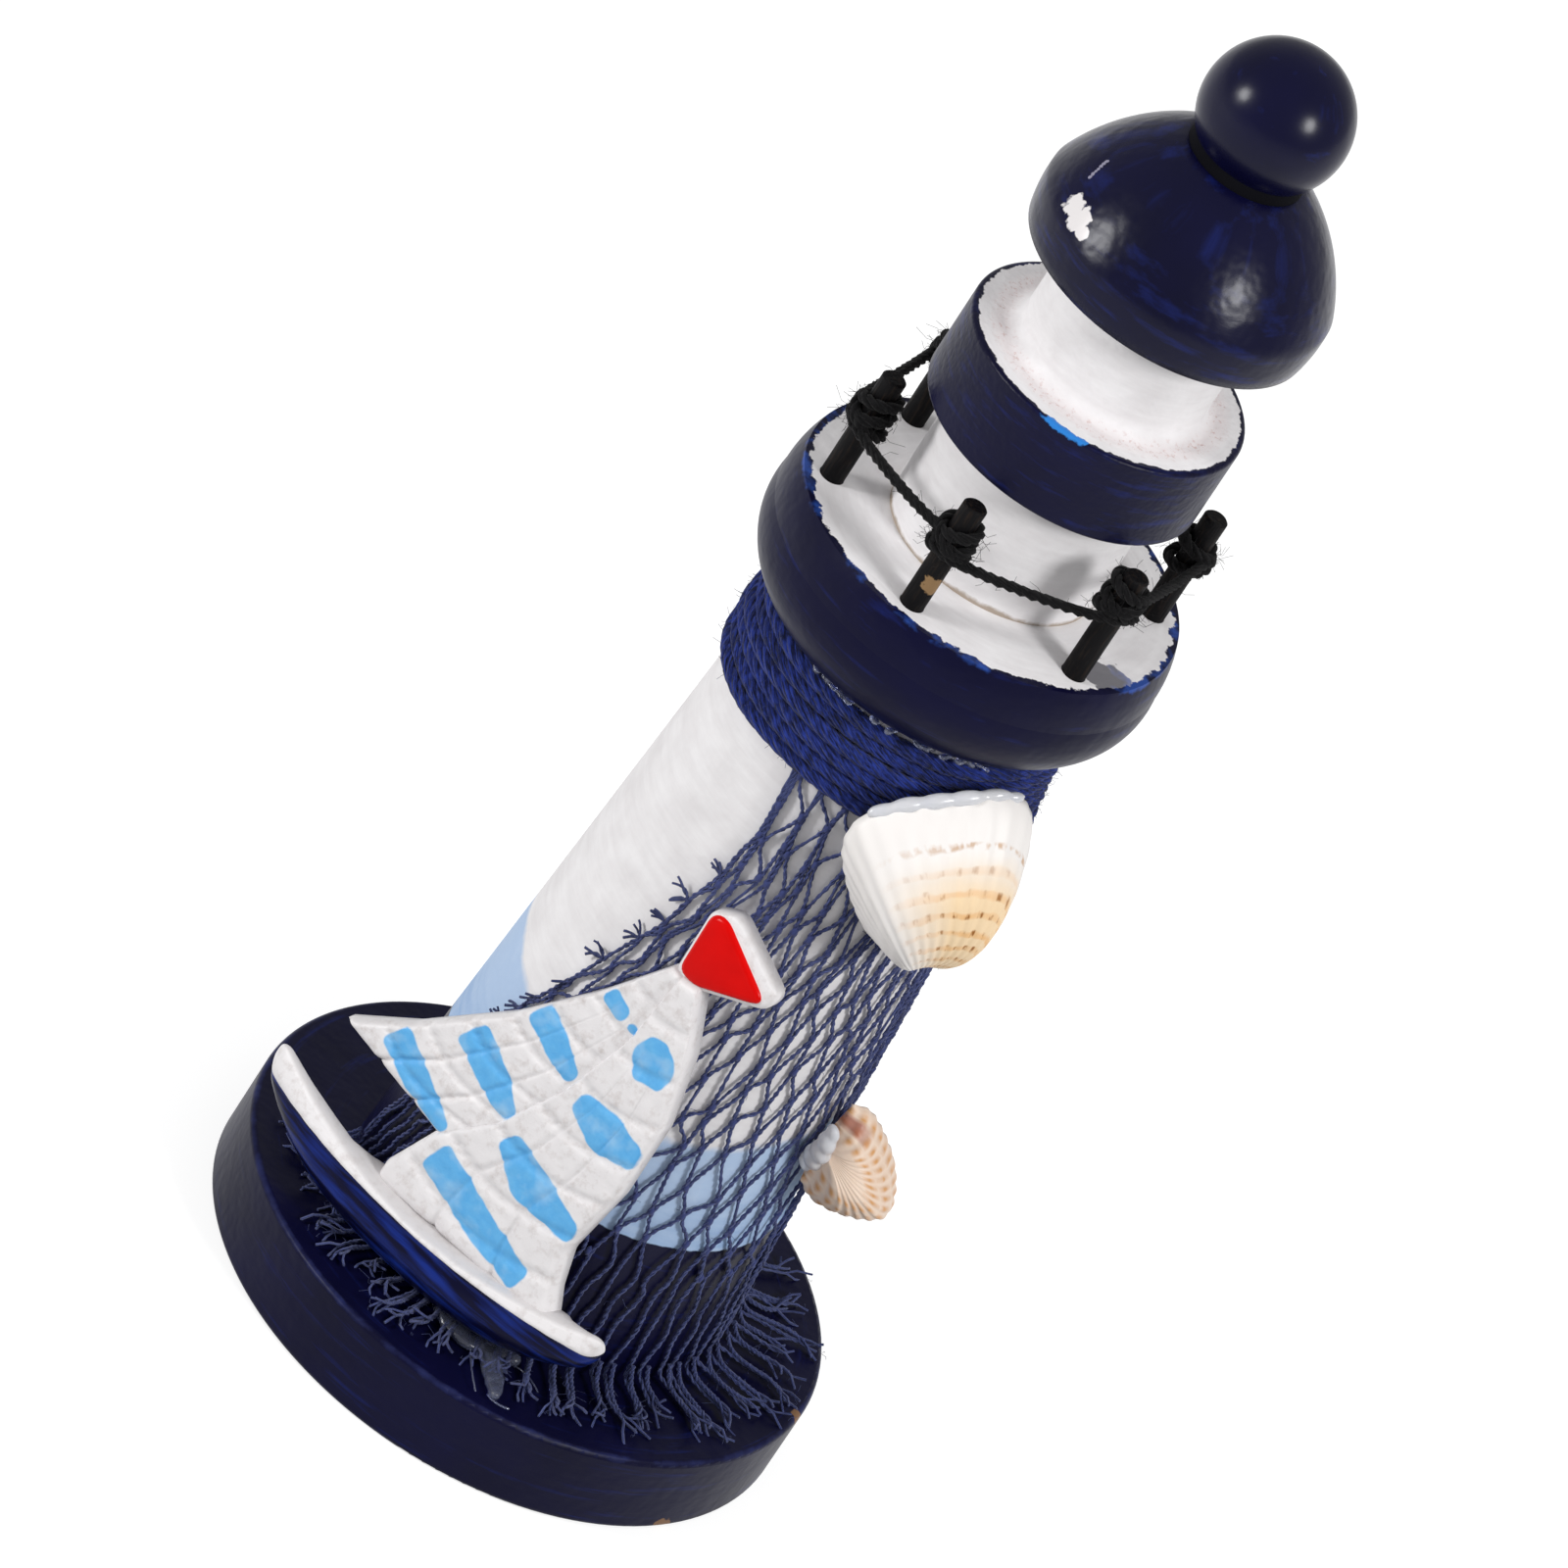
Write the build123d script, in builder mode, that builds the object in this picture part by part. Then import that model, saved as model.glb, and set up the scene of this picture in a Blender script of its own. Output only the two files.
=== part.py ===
from build123d import *
import os
from math import atan, cos, degrees, pi, radians, sin, sqrt

os.makedirs("parts", exist_ok=True)

# Wooden lighthouse ornament, in millimetres, +Z up, standing on the origin.
# The front is -Y. Bearings are degrees from the front, positive towards +X.

# Turned base and tower
base_radius = 30.0
base_height = 8.8
base_edge = 0.6
tower_foot_radius = 19.2
tower_top_radius = 14.35
tower_height = 77.2

# Gallery, a round-bellied balcony with a flat floor
gallery_foot_radius = 15.5
gallery_belly_radius = 19.9
gallery_belly_height = 8.0
gallery_rim_radius = 19.2
gallery_height = 12.4

# Lantern room and its head
lantern_radius = 10.5
lantern_height = 13.3
drum_radius = 13.9
drum_height = 9.0
drum_edge = 0.4
neck_radius = 9.4
neck_height = 10.9
neck_fillet = 1.4

# Roof and ball
roof_eave_radius = 14.2
roof_band_radius = 14.5
roof_band_height = 4.2
roof_top_radius = 6.0
roof_height = 14.3
roof_bulge = 1.1
ball_radius = 7.2
ball_neck_radius = 5.75
ball_neck_height = 1.2
ball_tenon_radius = 2.0
ball_tenon_length = 5.0

# Pegs inside the stack
base_dowel_radius = 4.0
base_dowel_in_base = 6.0
base_dowel_in_tower = 16.0
stack_dowel_radius = 3.0
stack_dowel_in_tower = 12.0
stack_dowel_in_lantern = 6.0
stack_dowel_in_roof = 7.0
peg_clearance = 0.05
peg_end_room = 0.3

# Railing posts and the twine between them
post_count = 6
post_first_bearing = 169.0
post_circle_radius = 16.4
post_radius = 1.2
post_height = 12.2
post_depth = 4.0
post_edge = 0.2
twine_diameter = 1.2
twine_seat = 0.15
twine_turns = 2
twine_low = 6.0
twine_rise = 4.1
twine_tail = 1.4

# Cord wound round the top of the tower
collar_diameter = 1.5
collar_turns = 4
collar_pitch = 1.95
collar_seat = 0.3
collar_room = 0.7
collar_tail = 1.6

# Fishing net, a holed sheet that lies on the tower and spreads over the base
net_seat = 0.3
net_thickness = 0.8
net_strand = 0.9
net_columns = 13
net_row_height = 8.0
net_left_top = -15.0
net_left_foot = -75.0
net_right_top = 98.0
net_right_foot = 128.0
net_gather = 18.7
fringe_outer_radius = 28.4
fringe_strands = 36
fringe_slot_width = 1.5

# Resin sailboat, a flat-backed casting against the tower
boat_bearing = -17.0
boat_back_room = 0.3
boat_bow = -24.3
boat_stern = 18.0
hull_depth = 3.9
hull_keel = 2.2
hull_deck = 7.2
hull_tip_depth = 0.6
hull_tip_keel = 7.5
hull_tip_deck = 10.7
jib_thickness = 1.9
mainsail_thickness = 2.5
pennant_thickness = 2.2

# Corners and middles of the boat's plates, along it and up from the base's top
seam_foot = (-7.0, 15.2)
seam_middle = (1.0, 28.0)
seam_head = (4.2, 45.7)
jib_foot = (-16.2, 16.0)
jib_tip = (-20.3, 17.3)
jib_luff = (-7.4, 29.9)
jib_head = (3.0, 45.8)
mainsail_head = (6.0, 46.0)
mainsail_leech = (10.8, 32.0)
mainsail_waist = (9.9, 15.5)
mainsail_bend = (10.4, 12.3)
mainsail_clew = (12.8, 10.4)
mainsail_heel = (12.8, 8.0)
mainsail_foot = (-3.5, 6.8)
mainsail_tack = (-9.3, 9.3)
pennant_outline = ((3.0, 45.2), (2.8, 52.4), (5.0, 53.8), (12.3, 50.7), (12.1, 48.7), (5.0, 45.2))

# Shells
large_shell_length = 19.6
large_shell_width = 17.4
large_shell_depth = 7.8
large_shell_bearing = 42.0
large_shell_drop = 1.6
large_shell_stand = 2.5
large_shell_facing = 37.5
large_shell_nod = -2.4
large_shell_roll = 24.0
small_shell_length = 13.6
small_shell_width = 8.4
small_shell_depth = 5.8
small_shell_bearing = 76.0
small_shell_rise = 29.2
small_shell_stand = 3.9
small_shell_facing = 41.0
small_shell_nod = 5.0
small_shell_roll = -150.0
shell_wall = 1.1
shell_widest_share = 0.68
shell_crown_share = 0.4

# Hot-melt glue
glue_room = 0.25
glue_reach = 12.0
large_glue_radius = 3.5
small_glue_radius = 1.7
bead_length = 15.0
bead_depth = 3.0
bead_height = 1.9

# Levels of the stack, from the sizes above
tower_top = base_height + tower_height
gallery_floor = tower_top + gallery_height
lantern_top = gallery_floor + lantern_height
drum_top = lantern_top + drum_height
neck_top = drum_top + neck_height
roof_top = neck_top + roof_height
ball_centre = roof_top + ball_neck_height + sqrt(ball_radius**2 - ball_neck_radius**2)
collar_bottom = tower_top - collar_room - collar_diameter - collar_pitch * collar_turns
large_shell_height = collar_bottom - large_shell_drop
small_shell_height = base_height + small_shell_rise


def tower_radius(height):
    """Radius of the tower's surface at a height."""
    share = (height - base_height) / tower_height
    return tower_foot_radius + share * (tower_top_radius - tower_foot_radius)


def around(bearing, radius, height):
    """Point at a bearing from the front, a radius from the axis and a height."""
    turn = radians(bearing)
    return Vector(radius * sin(turn), -radius * cos(turn), height)


def outward(bearing):
    """Level unit vector that points away from the axis at a bearing."""
    return around(bearing, 1.0, 0.0)


def finish(builder, label):
    """Names a finished piece and writes its file."""
    builder.part.label = label
    export_step(builder.part, f"parts/{label}.step")


def biarc(start, start_way, end, end_way):
    """Draws two arcs that join two points and keep the way at both ends."""
    span = end - start
    lead = span.dot(start_way + end_way)
    fold = start_way.dot(end_way) - 1.0
    reach = (lead - sqrt(lead**2 - 2.0 * fold * span.dot(span))) / (2.0 * fold)
    first = start + start_way * reach
    last = end - end_way * reach
    middle = (first + last) * 0.5
    TangentArc(start, middle, tangent=start_way)
    TangentArc(middle, end, tangent=last - first)


def least_gap(route, diameter, skip):
    """Least gap of a tube to itself, from points on its route that are skip apart."""
    gap = min(
        (route[i] - route[j]).length
        for i in range(len(route))
        for j in range(i + skip, len(route))
    )
    return gap - diameter


# Base disc, with the socket for its peg
with BuildPart() as base_disc:
    with BuildSketch(Plane.XY):
        Circle(base_radius)
    extrude(amount=base_height)
    fillet(base_disc.edges().filter_by(GeomType.CIRCLE), base_edge)
    with BuildSketch(Plane.XY.offset(base_height - base_dowel_in_base)):
        Circle(base_dowel_radius + peg_clearance)
    extrude(amount=base_dowel_in_base, mode=Mode.SUBTRACT)
finish(base_disc, "base_disc")

# Tower, a plain cone with a socket at each end
with BuildPart() as tower:
    with BuildSketch(Plane.XZ):
        Polygon(
            (0, base_height),
            (tower_foot_radius, base_height),
            (tower_top_radius, tower_top),
            (0, tower_top),
            align=None,
        )
    revolve(axis=Axis.Z)
    with BuildSketch(Plane.XY.offset(base_height)):
        Circle(base_dowel_radius + peg_clearance)
    extrude(amount=base_dowel_in_tower, mode=Mode.SUBTRACT)
    with BuildSketch(Plane.XY.offset(tower_top)):
        Circle(stack_dowel_radius + peg_clearance)
    extrude(amount=-stack_dowel_in_tower, mode=Mode.SUBTRACT)
finish(tower, "tower")

# Peg between base and tower
with BuildPart() as base_dowel:
    with BuildSketch(Plane.XY.offset(base_height - base_dowel_in_base)):
        Circle(base_dowel_radius)
    extrude(amount=base_dowel_in_base + base_dowel_in_tower - peg_end_room)
    chamfer(base_dowel.edges().filter_by(GeomType.CIRCLE), base_dowel_radius / 8)
finish(base_dowel, "base_dowel")

# Bearings of the railing posts, the first one behind the lantern
post_step = 360.0 / post_count
post_bearings = [post_first_bearing + post_step * number for number in range(post_count)]

# Gallery, turned with a round belly, bored for the peg and for the posts
with BuildPart() as gallery:
    with BuildSketch(Plane.XZ):
        with BuildLine():
            belly_level = tower_top + gallery_belly_height
            foot_share = cos(pi / 4)
            ThreePointArc(
                (gallery_foot_radius, tower_top),
                (
                    gallery_foot_radius + (gallery_belly_radius - gallery_foot_radius) * foot_share,
                    belly_level - gallery_belly_height * foot_share,
                ),
                (gallery_belly_radius, belly_level),
            )
            SagittaArc(
                (gallery_belly_radius, belly_level),
                (gallery_rim_radius, gallery_floor),
                -(gallery_belly_radius - gallery_rim_radius) / 3,
            )
            Polyline(
                (gallery_rim_radius, gallery_floor),
                (0, gallery_floor),
                (0, tower_top),
                (gallery_foot_radius, tower_top),
            )
        make_face()
    revolve(axis=Axis.Z)
    with BuildSketch(Plane.XY.offset(tower_top)):
        Circle(stack_dowel_radius + peg_clearance)
    extrude(amount=gallery_height, mode=Mode.SUBTRACT)
    with BuildSketch(Plane.XY.offset(gallery_floor)):
        with Locations(*[around(bearing, post_circle_radius, 0) for bearing in post_bearings]):
            Circle(post_radius + peg_clearance)
    extrude(amount=-post_depth, mode=Mode.SUBTRACT)
finish(gallery, "gallery")

# Lantern room, bored right through for the two pegs that meet inside it
with BuildPart() as lantern_wall:
    with BuildSketch(Plane.XY.offset(gallery_floor)):
        Circle(lantern_radius)
        Circle(stack_dowel_radius + peg_clearance, mode=Mode.SUBTRACT)
    extrude(amount=lantern_height)
finish(lantern_wall, "lantern_wall")

# Peg that joins tower, gallery and lantern room
with BuildPart() as gallery_dowel:
    gallery_dowel_foot = tower_top - stack_dowel_in_tower
    gallery_dowel_top = gallery_floor + stack_dowel_in_lantern
    with BuildSketch(Plane.XY.offset(gallery_dowel_foot)):
        Circle(stack_dowel_radius)
    extrude(amount=gallery_dowel_top - gallery_dowel_foot)
    chamfer(gallery_dowel.edges().filter_by(GeomType.CIRCLE), stack_dowel_radius / 8)
finish(gallery_dowel, "gallery_dowel")

# Lantern head, a drum whose top runs up into a neck
with BuildPart() as lantern_head:
    with BuildSketch(Plane.XZ):
        with BuildLine():
            Polyline(
                (0, lantern_top),
                (drum_radius, lantern_top),
                (drum_radius, drum_top),
                (neck_radius, drum_top),
                (neck_radius, neck_top),
                (0, neck_top),
                close=True,
            )
        make_face()
    revolve(axis=Axis.Z)
    drum_rims = lantern_head.edges().filter_by(GeomType.CIRCLE).group_by(SortBy.RADIUS)[-1]
    neck_foot = (
        lantern_head.edges()
        .filter_by(GeomType.CIRCLE)
        .filter_by_position(Axis.Z, drum_top - drum_edge, drum_top + drum_edge)
        .sort_by(SortBy.RADIUS)[0]
    )
    fillet(neck_foot, neck_fillet)
    fillet(drum_rims, drum_edge)
    with BuildSketch(Plane.XY.offset(lantern_top)):
        Circle(stack_dowel_radius + peg_clearance)
    extrude(amount=neck_top - lantern_top, mode=Mode.SUBTRACT)
finish(lantern_head, "lantern_head")

# Roof, an upright band below a dome, with a socket for the peg and one for the ball's tenon
with BuildPart() as roof_cap:
    with BuildSketch(Plane.XZ):
        band_top = neck_top + roof_band_height
        with BuildLine():
            SagittaArc(
                (roof_eave_radius, neck_top),
                (roof_band_radius, band_top),
                -(roof_band_radius - roof_eave_radius) / 2,
            )
            SagittaArc((roof_band_radius, band_top), (roof_top_radius, roof_top), -roof_bulge)
            Polyline(
                (roof_top_radius, roof_top),
                (0, roof_top),
                (0, neck_top),
                (roof_eave_radius, neck_top),
            )
        make_face()
    revolve(axis=Axis.Z)
    with BuildSketch(Plane.XY.offset(neck_top)):
        Circle(stack_dowel_radius + peg_clearance)
    extrude(amount=stack_dowel_in_roof, mode=Mode.SUBTRACT)
    with BuildSketch(Plane.XY.offset(roof_top)):
        Circle(ball_tenon_radius + peg_clearance)
    extrude(amount=-(ball_tenon_length + peg_end_room), mode=Mode.SUBTRACT)
finish(roof_cap, "roof_cap")

# Peg that joins lantern room, head and roof, resting on the peg below
with BuildPart() as lantern_dowel:
    lantern_dowel_top = neck_top + stack_dowel_in_roof - peg_end_room
    with BuildSketch(Plane.XY.offset(gallery_dowel_top)):
        Circle(stack_dowel_radius)
    extrude(amount=lantern_dowel_top - gallery_dowel_top)
    chamfer(lantern_dowel.edges().filter_by(GeomType.CIRCLE), stack_dowel_radius / 8)
finish(lantern_dowel, "lantern_dowel")

# Ball with its neck and tenon, turned in one
with BuildPart() as ball_finial:
    with BuildSketch(Plane.XZ):
        with BuildLine():
            ball_joint = (ball_neck_radius, roof_top + ball_neck_height)
            ThreePointArc(ball_joint, (ball_radius, ball_centre), (0, ball_centre + ball_radius))
            Polyline(
                (0, ball_centre + ball_radius),
                (0, roof_top - ball_tenon_length),
                (ball_tenon_radius, roof_top - ball_tenon_length),
                (ball_tenon_radius, roof_top),
                (ball_neck_radius, roof_top),
                ball_joint,
            )
        make_face()
    revolve(axis=Axis.Z)
finish(ball_finial, "ball_finial")

# Railing posts, set into the gallery floor
for number, bearing in enumerate(post_bearings, start=1):
    foot = around(bearing, post_circle_radius, gallery_floor - post_depth)
    with BuildPart() as rail_post:
        with BuildSketch(Plane(origin=foot)):
            Circle(post_radius)
        extrude(amount=post_depth + post_height)
        chamfer(rail_post.edges().filter_by(GeomType.CIRCLE), post_edge)
    finish(rail_post, f"rail_post_{number}")

# Railing twine: two turns round each post, up one post and down the next, with level
# runs between them. The end takes half a turn under the first winding.
wrap_radius = post_radius + twine_seat + twine_diameter / 2
wrap_sweep = 360.0 * twine_turns + post_step
quarters_in_wrap = 4 * twine_turns + 1
twine_bottom = gallery_floor + twine_low
knot_step = twine_rise / twine_turns


def wrap_point(bearing, share, foot, rise, sweep):
    """Point and way on a winding that starts and ends level, at a share of its sweep."""
    turn = bearing - post_step / 2 + sweep * share
    climb = rise * (share - sin(2 * pi * share) / (2 * pi))
    slope = rise * (1 - cos(2 * pi * share)) / (radians(sweep) * wrap_radius)
    centre = around(bearing, post_circle_radius, foot)
    point = centre + outward(turn) * wrap_radius + Vector(0, 0, climb)
    way = (outward(turn + 90.0) + Vector(0, 0, slope)).normalized()
    return point, way


def wrap_points(bearing, foot, rise, sweep, steps):
    """Points and ways on one winding."""
    return [wrap_point(bearing, step / steps, foot, rise, sweep) for step in range(steps + 1)]


first_bearing = post_bearings[0]
first_rise = twine_rise - knot_step
first_sweep = wrap_sweep - 360.0
half_turn = 180.0
windings = [(first_bearing, twine_bottom + knot_step, first_rise, first_sweep, quarters_in_wrap - 4)]
for number, bearing in enumerate(post_bearings[1:], start=1):
    goes_down = number % 2 == 1
    start_level = twine_bottom + (twine_rise if goes_down else 0.0)
    climb = -twine_rise if goes_down else twine_rise
    windings.append((bearing, start_level, climb, wrap_sweep, quarters_in_wrap))
windings.append((first_bearing + 360.0, twine_bottom, 0.0, half_turn, 2))

with BuildPart() as rail_twine:
    with BuildLine() as twine_line:
        start, start_way = wrap_points(*windings[0])[0]
        Line(start - start_way * twine_tail, start)
        for number, winding in enumerate(windings):
            stations = wrap_points(*winding)
            for (here, here_way), (there, there_way) in zip(stations, stations[1:]):
                biarc(here, here_way, there, there_way)
            if number + 1 < len(windings):
                Line(stations[-1][0], wrap_points(*windings[number + 1])[0][0])
    with BuildSketch(Plane(origin=twine_line.line @ 0, z_dir=twine_line.line % 0)):
        Circle(twine_diameter / 2)
    sweep()
finish(rail_twine, "rail_twine")

fine_steps = 72
wrap_gaps = []
for winding in windings[1:-1]:
    route = [point for point, way in wrap_points(*winding[:4], fine_steps)]
    half_a_turn = int(fine_steps * half_turn / wrap_sweep)
    wrap_gaps.append(least_gap(route, twine_diameter, half_a_turn))
print("twine least gap to itself", round(min(wrap_gaps), 2), "knot gap", round(knot_step - twine_diameter, 2))
print("twine length", round(twine_line.wire().length, 1))

# Rope collar: the cord winds up the tower from below the gallery's foot
collar_radius = collar_diameter / 2
collar_start = collar_bottom + collar_radius
collar_sweep = 360.0 * collar_turns


def collar_point(share):
    """Point and way on the winding, at a share of its sweep."""
    turn = collar_sweep * share
    height = collar_start + collar_pitch * collar_turns * share
    radius = tower_radius(height) + collar_seat + collar_radius
    slope = collar_pitch / (2 * pi * radius)
    way = (outward(turn + 90.0) + Vector(0, 0, slope)).normalized()
    return around(turn, radius, height), way


with BuildPart() as rope_collar:
    with BuildLine() as collar_line:
        stations = [collar_point(step / (4 * collar_turns)) for step in range(4 * collar_turns + 1)]
        Line(stations[0][0] - stations[0][1] * collar_tail, stations[0][0])
        for (here, here_way), (there, there_way) in zip(stations, stations[1:]):
            biarc(here, here_way, there, there_way)
        Line(stations[-1][0], stations[-1][0] + stations[-1][1] * collar_tail)
    with BuildSketch(Plane(origin=collar_line.line @ 0, z_dir=collar_line.line % 0)):
        Circle(collar_radius)
    sweep()
finish(rope_collar, "rope_collar")

collar_steps = 72 * collar_turns
collar_route = [collar_point(step / collar_steps)[0] for step in range(collar_steps + 1)]
print("collar least gap to itself", round(least_gap(collar_route, collar_diameter, 36), 2))
print("collar length", round(collar_line.wire().length, 1))

# Fishing net: a sheet round the tower that turns out over the base, trimmed along its
# slanting sides, with diamond holes and a fringe of cut ends
net_inner = net_seat
net_outer = net_seat + net_thickness
net_top = collar_bottom - net_seat
net_shoulder = net_top - net_gather
net_foot = base_height + net_seat
fringe_top = net_foot + net_thickness
net_slope = degrees(atan((tower_foot_radius - tower_top_radius) / tower_height))


def net_side(height, top_bearing, foot_bearing):
    """Bearing of a side of the net: upright above the shoulder, spreading below it."""
    share = min(1.0, max(0.0, (net_shoulder - height) / (net_shoulder - net_foot)))
    return top_bearing + (foot_bearing - top_bearing) * share


with BuildPart() as fishing_net:
    with BuildSketch(Plane.XZ.rotated((0, 0, net_left_foot - 90.0))):
        Polygon(
            (tower_radius(net_foot) + net_inner, net_foot),
            (fringe_outer_radius, net_foot),
            (fringe_outer_radius, fringe_top),
            (tower_radius(fringe_top) + net_outer, fringe_top),
            (tower_radius(net_top) + net_outer, net_top),
            (tower_radius(net_top) + net_inner, net_top),
            align=None,
        )
    revolve(axis=Axis.Z, revolution_arc=net_right_foot - net_left_foot)
    for top_bearing, foot_bearing in ((net_left_top, net_left_foot), (net_right_top, net_right_foot)):
        facing = (top_bearing + foot_bearing) / 2
        to_side = -1.0 if foot_bearing < top_bearing else 1.0
        trim_plane = Plane(origin=(0, 0, 0), x_dir=outward(facing + 90.0), z_dir=outward(facing))
        trim_levels = [net_top + net_strand, net_shoulder, fringe_top + net_strand]
        edge = [
            (
                (tower_radius(level) + net_outer) * sin(radians(net_side(level, top_bearing, foot_bearing) - facing)),
                level,
            )
            for level in trim_levels
        ]
        beyond = to_side * base_radius
        with BuildSketch(trim_plane):
            Polygon(*edge, (beyond, trim_levels[-1]), (beyond, trim_levels[0]), align=None)
        extrude(amount=base_radius, mode=Mode.SUBTRACT)
    row_count = int(2 * (net_top - fringe_top) / net_row_height) - 1
    for row in range(row_count):
        level = net_top - net_row_height * (row + 1) / 2
        left = net_side(level, net_left_top, net_left_foot)
        right = net_side(level, net_right_top, net_right_foot)
        cell = (right - left) / net_columns
        cell_width = radians(cell) * (tower_radius(level) + net_outer)
        shift = 1.0 if row % 2 else 0.5
        holes = [left + cell * (column + shift) for column in range(net_columns - row % 2)]
        half_width = (cell_width - net_strand) / 2
        half_height = half_width * net_row_height / cell_width
        hole_planes = [
            Plane(
                origin=around(bearing, tower_radius(level), level),
                x_dir=outward(bearing + 90.0),
                z_dir=outward(bearing),
            )
            for bearing in holes
        ]
        with BuildSketch(*hole_planes):
            Polygon((half_width, 0), (0, half_height), (-half_width, 0), (0, -half_height))
        extrude(amount=2 * net_outer, mode=Mode.SUBTRACT)
    fringe_step = (net_right_foot - net_left_foot) / fringe_strands
    fringe_root = tower_radius(net_foot) + net_outer + net_strand
    slot_length = base_radius - fringe_root
    with BuildSketch(Plane.XY.offset(net_foot)):
        for strand in range(1, fringe_strands):
            bearing = net_left_foot + fringe_step * strand
            with Locations(Location(around(bearing, fringe_root + slot_length / 2, 0), (0, 0, bearing))):
                Rectangle(fringe_slot_width, slot_length)
    extrude(amount=net_thickness, mode=Mode.SUBTRACT)
finish(fishing_net, "fishing_net")

# Sailboat: hull lofted through half sections, with the sails and the pennant as raised plates
boat_stand = net_outer + boat_back_room
boat_lean = net_slope
boat_way = outward(boat_bearing + 90.0)
boat_face = outward(boat_bearing) * cos(radians(boat_lean)) + Vector(0, 0, sin(radians(boat_lean)))
boat_plane = Plane(
    origin=around(boat_bearing, tower_foot_radius + boat_stand, base_height),
    x_dir=boat_way,
    z_dir=boat_face,
)
hull_middle = (boat_bow + boat_stern) / 2
hull_half = (boat_stern - boat_bow) / 2
hull_stations = (-1.0, -0.8, -0.5, -0.1, 0.3, 0.7, 0.9, 1.0)
with BuildPart() as sailboat:
    for station in hull_stations:
        ends = abs(station) ** 2.4
        depth = hull_depth - (hull_depth - hull_tip_depth) * ends
        deck = hull_deck + (hull_tip_deck - hull_deck) * abs(station) ** 1.7
        keel = hull_keel + (hull_tip_keel - hull_keel) * abs(station) ** 3
        bulge = sin(pi / 4)
        along = hull_middle + hull_half * station
        section = Plane(
            origin=boat_plane.from_local_coords((along, 0, 0)),
            x_dir=boat_plane.z_dir,
            z_dir=-boat_plane.x_dir,
        )
        with BuildSketch(section):
            with BuildLine():
                Polyline((0, keel), (0, deck), (depth, deck))
                ThreePointArc((depth, deck), (depth * bulge, deck - (deck - keel) * bulge), (0, keel))
            make_face()
    loft()
    with BuildSketch(boat_plane):
        with BuildLine():
            Polyline(seam_foot, jib_foot, jib_tip)
            ThreePointArc(jib_tip, jib_luff, jib_head)
            Line(jib_head, seam_head)
            ThreePointArc(seam_head, seam_middle, seam_foot)
        make_face()
    extrude(amount=jib_thickness)
    with BuildSketch(boat_plane):
        with BuildLine():
            ThreePointArc(seam_foot, seam_middle, seam_head)
            Line(seam_head, mainsail_head)
            ThreePointArc(mainsail_head, mainsail_leech, mainsail_waist)
            ThreePointArc(mainsail_waist, mainsail_bend, mainsail_clew)
            Polyline(mainsail_clew, mainsail_heel, mainsail_foot, mainsail_tack, seam_foot)
        make_face()
    extrude(amount=mainsail_thickness)
    with BuildSketch(boat_plane):
        Polygon(*pennant_outline, align=None)
    extrude(amount=pennant_thickness)
finish(sailboat, "sailboat")


def shell_plane(bearing, height, stand, facing, nod, roll):
    """Plane of a shell's rim: its Y runs from the beak to the margin, its Z points outwards."""
    level = outward(facing)
    face = level * cos(radians(nod)) + Vector(0, 0, sin(radians(nod)))
    origin = around(bearing, tower_radius(height) + stand, height)
    upright = Plane(origin=origin, x_dir=outward(facing + 90.0), z_dir=face)
    across = upright.x_dir * cos(radians(roll)) + upright.y_dir * sin(radians(roll))
    return Plane(origin=origin, x_dir=across, z_dir=face)


def hump(share, peak, foot_power, top_power):
    """Rises from 0 at the ends to 1 at the peak, as a squared-off round."""
    away = (peak - share) / peak if share < peak else (share - peak) / (1.0 - peak)
    return (1.0 - away**foot_power) ** top_power


def valve_section(rim, length, width, depth, share, inset):
    """Sketch plane, half width and height of one section across a valve."""
    half = width / 2 * hump(share, shell_widest_share, 2.2, 0.5) - inset
    rise = depth * hump(share, shell_crown_share, 2.0, 0.6) - inset
    plane = Plane(
        origin=rim.from_local_coords((0, length * (share - 0.5), 0)),
        x_dir=rim.x_dir,
        z_dir=-rim.y_dir,
    )
    return plane, half, rise


def draw_arch(half, rise):
    """Draws a half oval on the plane of the rim."""
    EllipticalCenterArc((0, 0), half, rise, arc_size=180)
    Line((-half, 0), (half, 0))


valve_shares = (0.04, 0.2, 0.4, 0.68, 0.84, 0.96)
cavity_shares = (0.2, 0.4, 0.6, 0.8)
glue_shares = (0.22, 0.4, 0.6, 0.78)
large_rim = shell_plane(
    large_shell_bearing,
    large_shell_height,
    large_shell_stand,
    large_shell_facing,
    large_shell_nod,
    large_shell_roll,
)
small_rim = shell_plane(
    small_shell_bearing,
    small_shell_height,
    small_shell_stand,
    small_shell_facing,
    small_shell_nod,
    small_shell_roll,
)
shells = {
    "large_shell": (
        large_rim,
        large_shell_length,
        large_shell_width,
        large_shell_depth,
        large_shell_bearing,
        large_glue_radius,
    ),
    "small_shell": (
        small_rim,
        small_shell_length,
        small_shell_width,
        small_shell_depth,
        small_shell_bearing,
        small_glue_radius,
    ),
}
glue_wrap = collar_bottom - net_seat
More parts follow.
